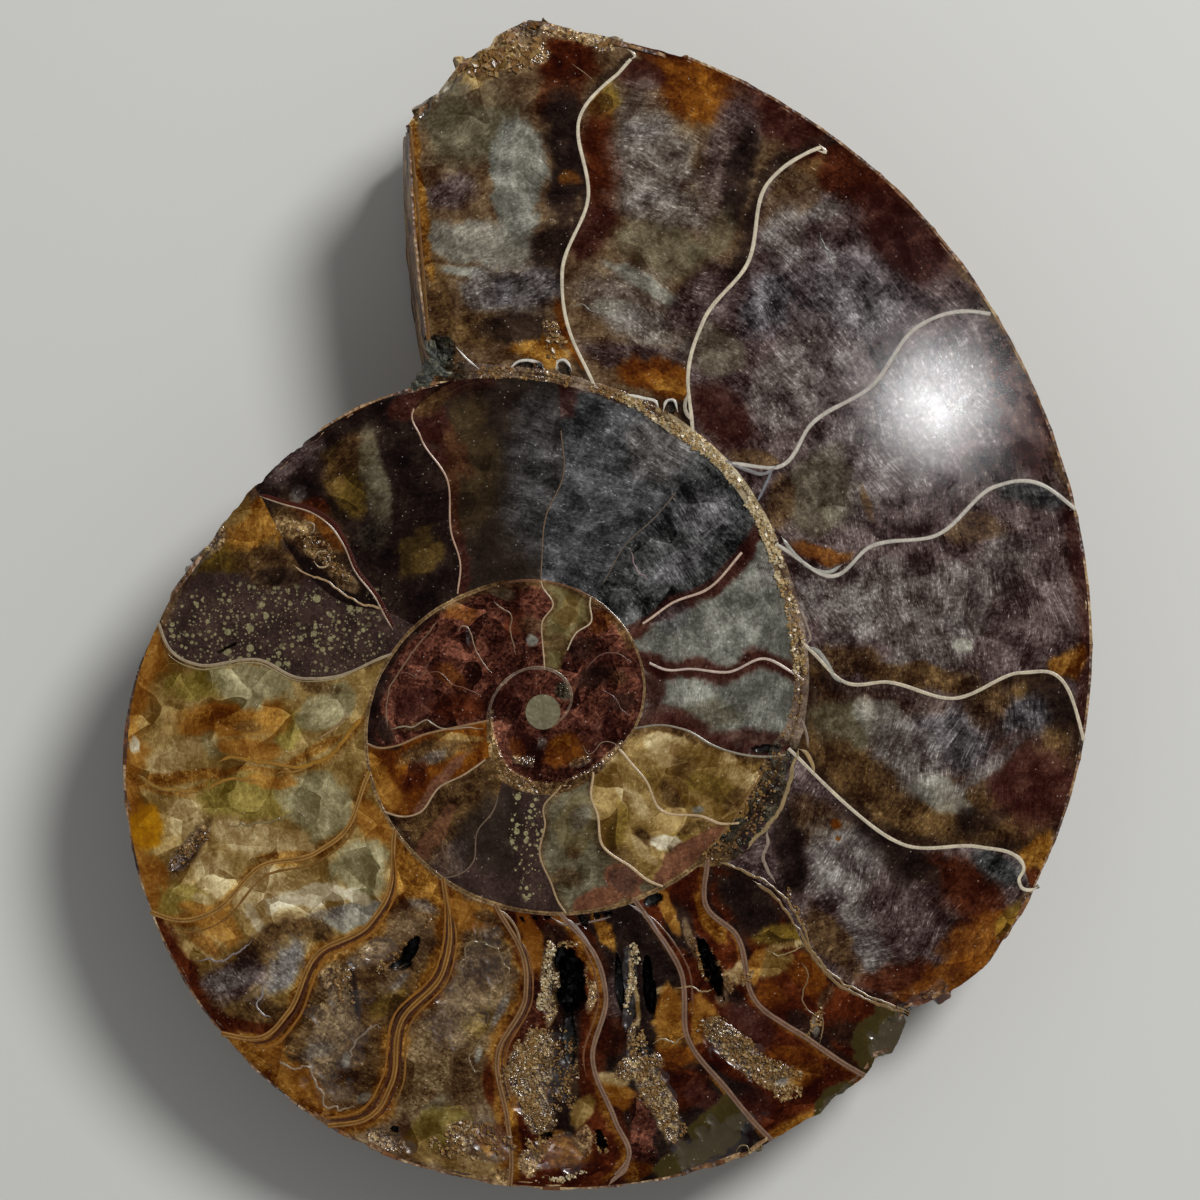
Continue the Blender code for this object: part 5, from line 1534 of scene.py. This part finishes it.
# Each crumb: middle, half length, half width and turn
CRUMBS = [(-11.8, 33.4, 1.3, 0.7, 30), (-10.9, 34.6, 0.9, 1.0, 70), (-9.9, 33.9, 1.0, 0.5, -10),
          (-11.2, 36.3, 0.5, 0.9, 10), (-12.6, 32.7, 0.7, 0.4, 40), (-10.0, 35.3, 0.5, 0.5, 0)]
crumbs = []
for number, (px, py, long, wide, turn) in enumerate(CRUMBS):
    bpy.ops.object.select_all(action="DESELECT")
    bpy.ops.mesh.primitive_ico_sphere_add(subdivisions=4, radius=1)
    crumb = bpy.context.object
    x, y, z = points_of(crumb)
    swell = 1 + 1.3 * mottle(x + 3 * number, y + z, 0.7, 71, 4)
    place = turned_about(px, py, x * swell * long, y * swell * wide, turn)
    crumb.data.vertices.foreach_set("co", np.stack([*place, z * swell * 0.35 - 0.15], 1).ravel())
    crumbs.append(crumb)

# Weathered shell: matt, and mottled black and olive in lumps of about 1 mm.
material, tree, shader, place = new_material("weathered_shell")
lumps = add(tree, "TexNoise", {"Vector": place, "Scale": 1.1, "Detail": 7, "Roughness": 0.7})
tone = add(tree, "ValToRGB", {0: lumps}, stops=[
    (0.35, "0b0b09"), (0.5, "23241b"), (0.6, "4d4c3c"), (0.7, "8b8468")])
plug(shader, {"Base Color": tone, "Roughness": 0.6})
laid(joined("mouth_crumbs", crumbs), material, crease=12)

# ------------------------------------------------------------------ floor, light and camera
# A pale matt table, one soft lamp from the upper right, a small lamp for the glow on the polish, a
# dim studio that is darker overhead, and a camera that looks straight down on the cut.

bpy.ops.object.select_all(action="DESELECT")
bpy.ops.mesh.primitive_plane_add(size=3, location=(0, 0, 0))
floor = bpy.context.object
floor.name = "floor"
material, tree, shader, place = new_material("pale_floor")
plug(shader, {"Base Color": (*linear("c6c6c2"), 1), "Roughness": 0.9})
floor.data.materials.append(material)

world = bpy.data.worlds.new("studio")
bpy.context.scene.world = world
world.use_nodes = True
tree = world.node_tree
sky = add(tree, "SeparateXYZ", {0: add(tree, "TexCoord", {}).outputs["Generated"]}).outputs["Z"]
overhead = add(tree, "MapRange", {"Value": sky, "From Min": 0.86, "From Max": 0.95,
                                  "To Min": 0.34, "To Max": 0.03})
plug(tree.nodes["Background"], {"Strength": overhead, "Color": (1, 1, 1, 1)})


def lamp(name, azimuth, height, distance, size, power):
    """A soft round lamp that looks at the middle of the floor."""
    a = math.radians(azimuth)
    e = math.radians(height)
    place = Vector((math.cos(a) * math.cos(e), math.sin(a) * math.cos(e), math.sin(e))) * distance
    light = bpy.data.lights.new(name, "AREA")
    light.shape = "DISK"
    light.size = size
    light.energy = power
    thing = bpy.data.objects.new(name, light)
    thing.location = place
    thing.rotation_euler = place.to_track_quat("Z", "Y").to_euler()
    bpy.context.scene.collection.objects.link(thing)


lamp("key", 42, 48, 0.9, 0.3, 7.6)
# A small weak lamp that the polish shows as a soft glow on the widest chambers
spot = FACE_TO_ROW @ Vector((107.0, 71.0, 900.0))
flat_way = math.hypot(spot.x, spot.y)
lamp("glow", math.degrees(math.atan2(spot.y, spot.x)), math.degrees(math.atan2(spot.z, flat_way)),
     spot.length, 0.012, 0.05)

FRAME_MM = 120.0
CAMERA_MM = 450.0
AIM = (5.7, 11.2, 0.0)
camera = bpy.data.cameras.new("camera")
camera.sensor_width = 36
camera.lens = 36 * CAMERA_MM / FRAME_MM
camera.clip_start = 0.01
eye = bpy.data.objects.new("camera", camera)
eye.matrix_world = Matrix.Translation(FACE_TO_ROW @ Vector((AIM[0], AIM[1], CAMERA_MM))) @ turned
bpy.context.scene.collection.objects.link(eye)
bpy.context.scene.camera = eye
bpy.context.scene.view_settings.view_transform = "Standard"
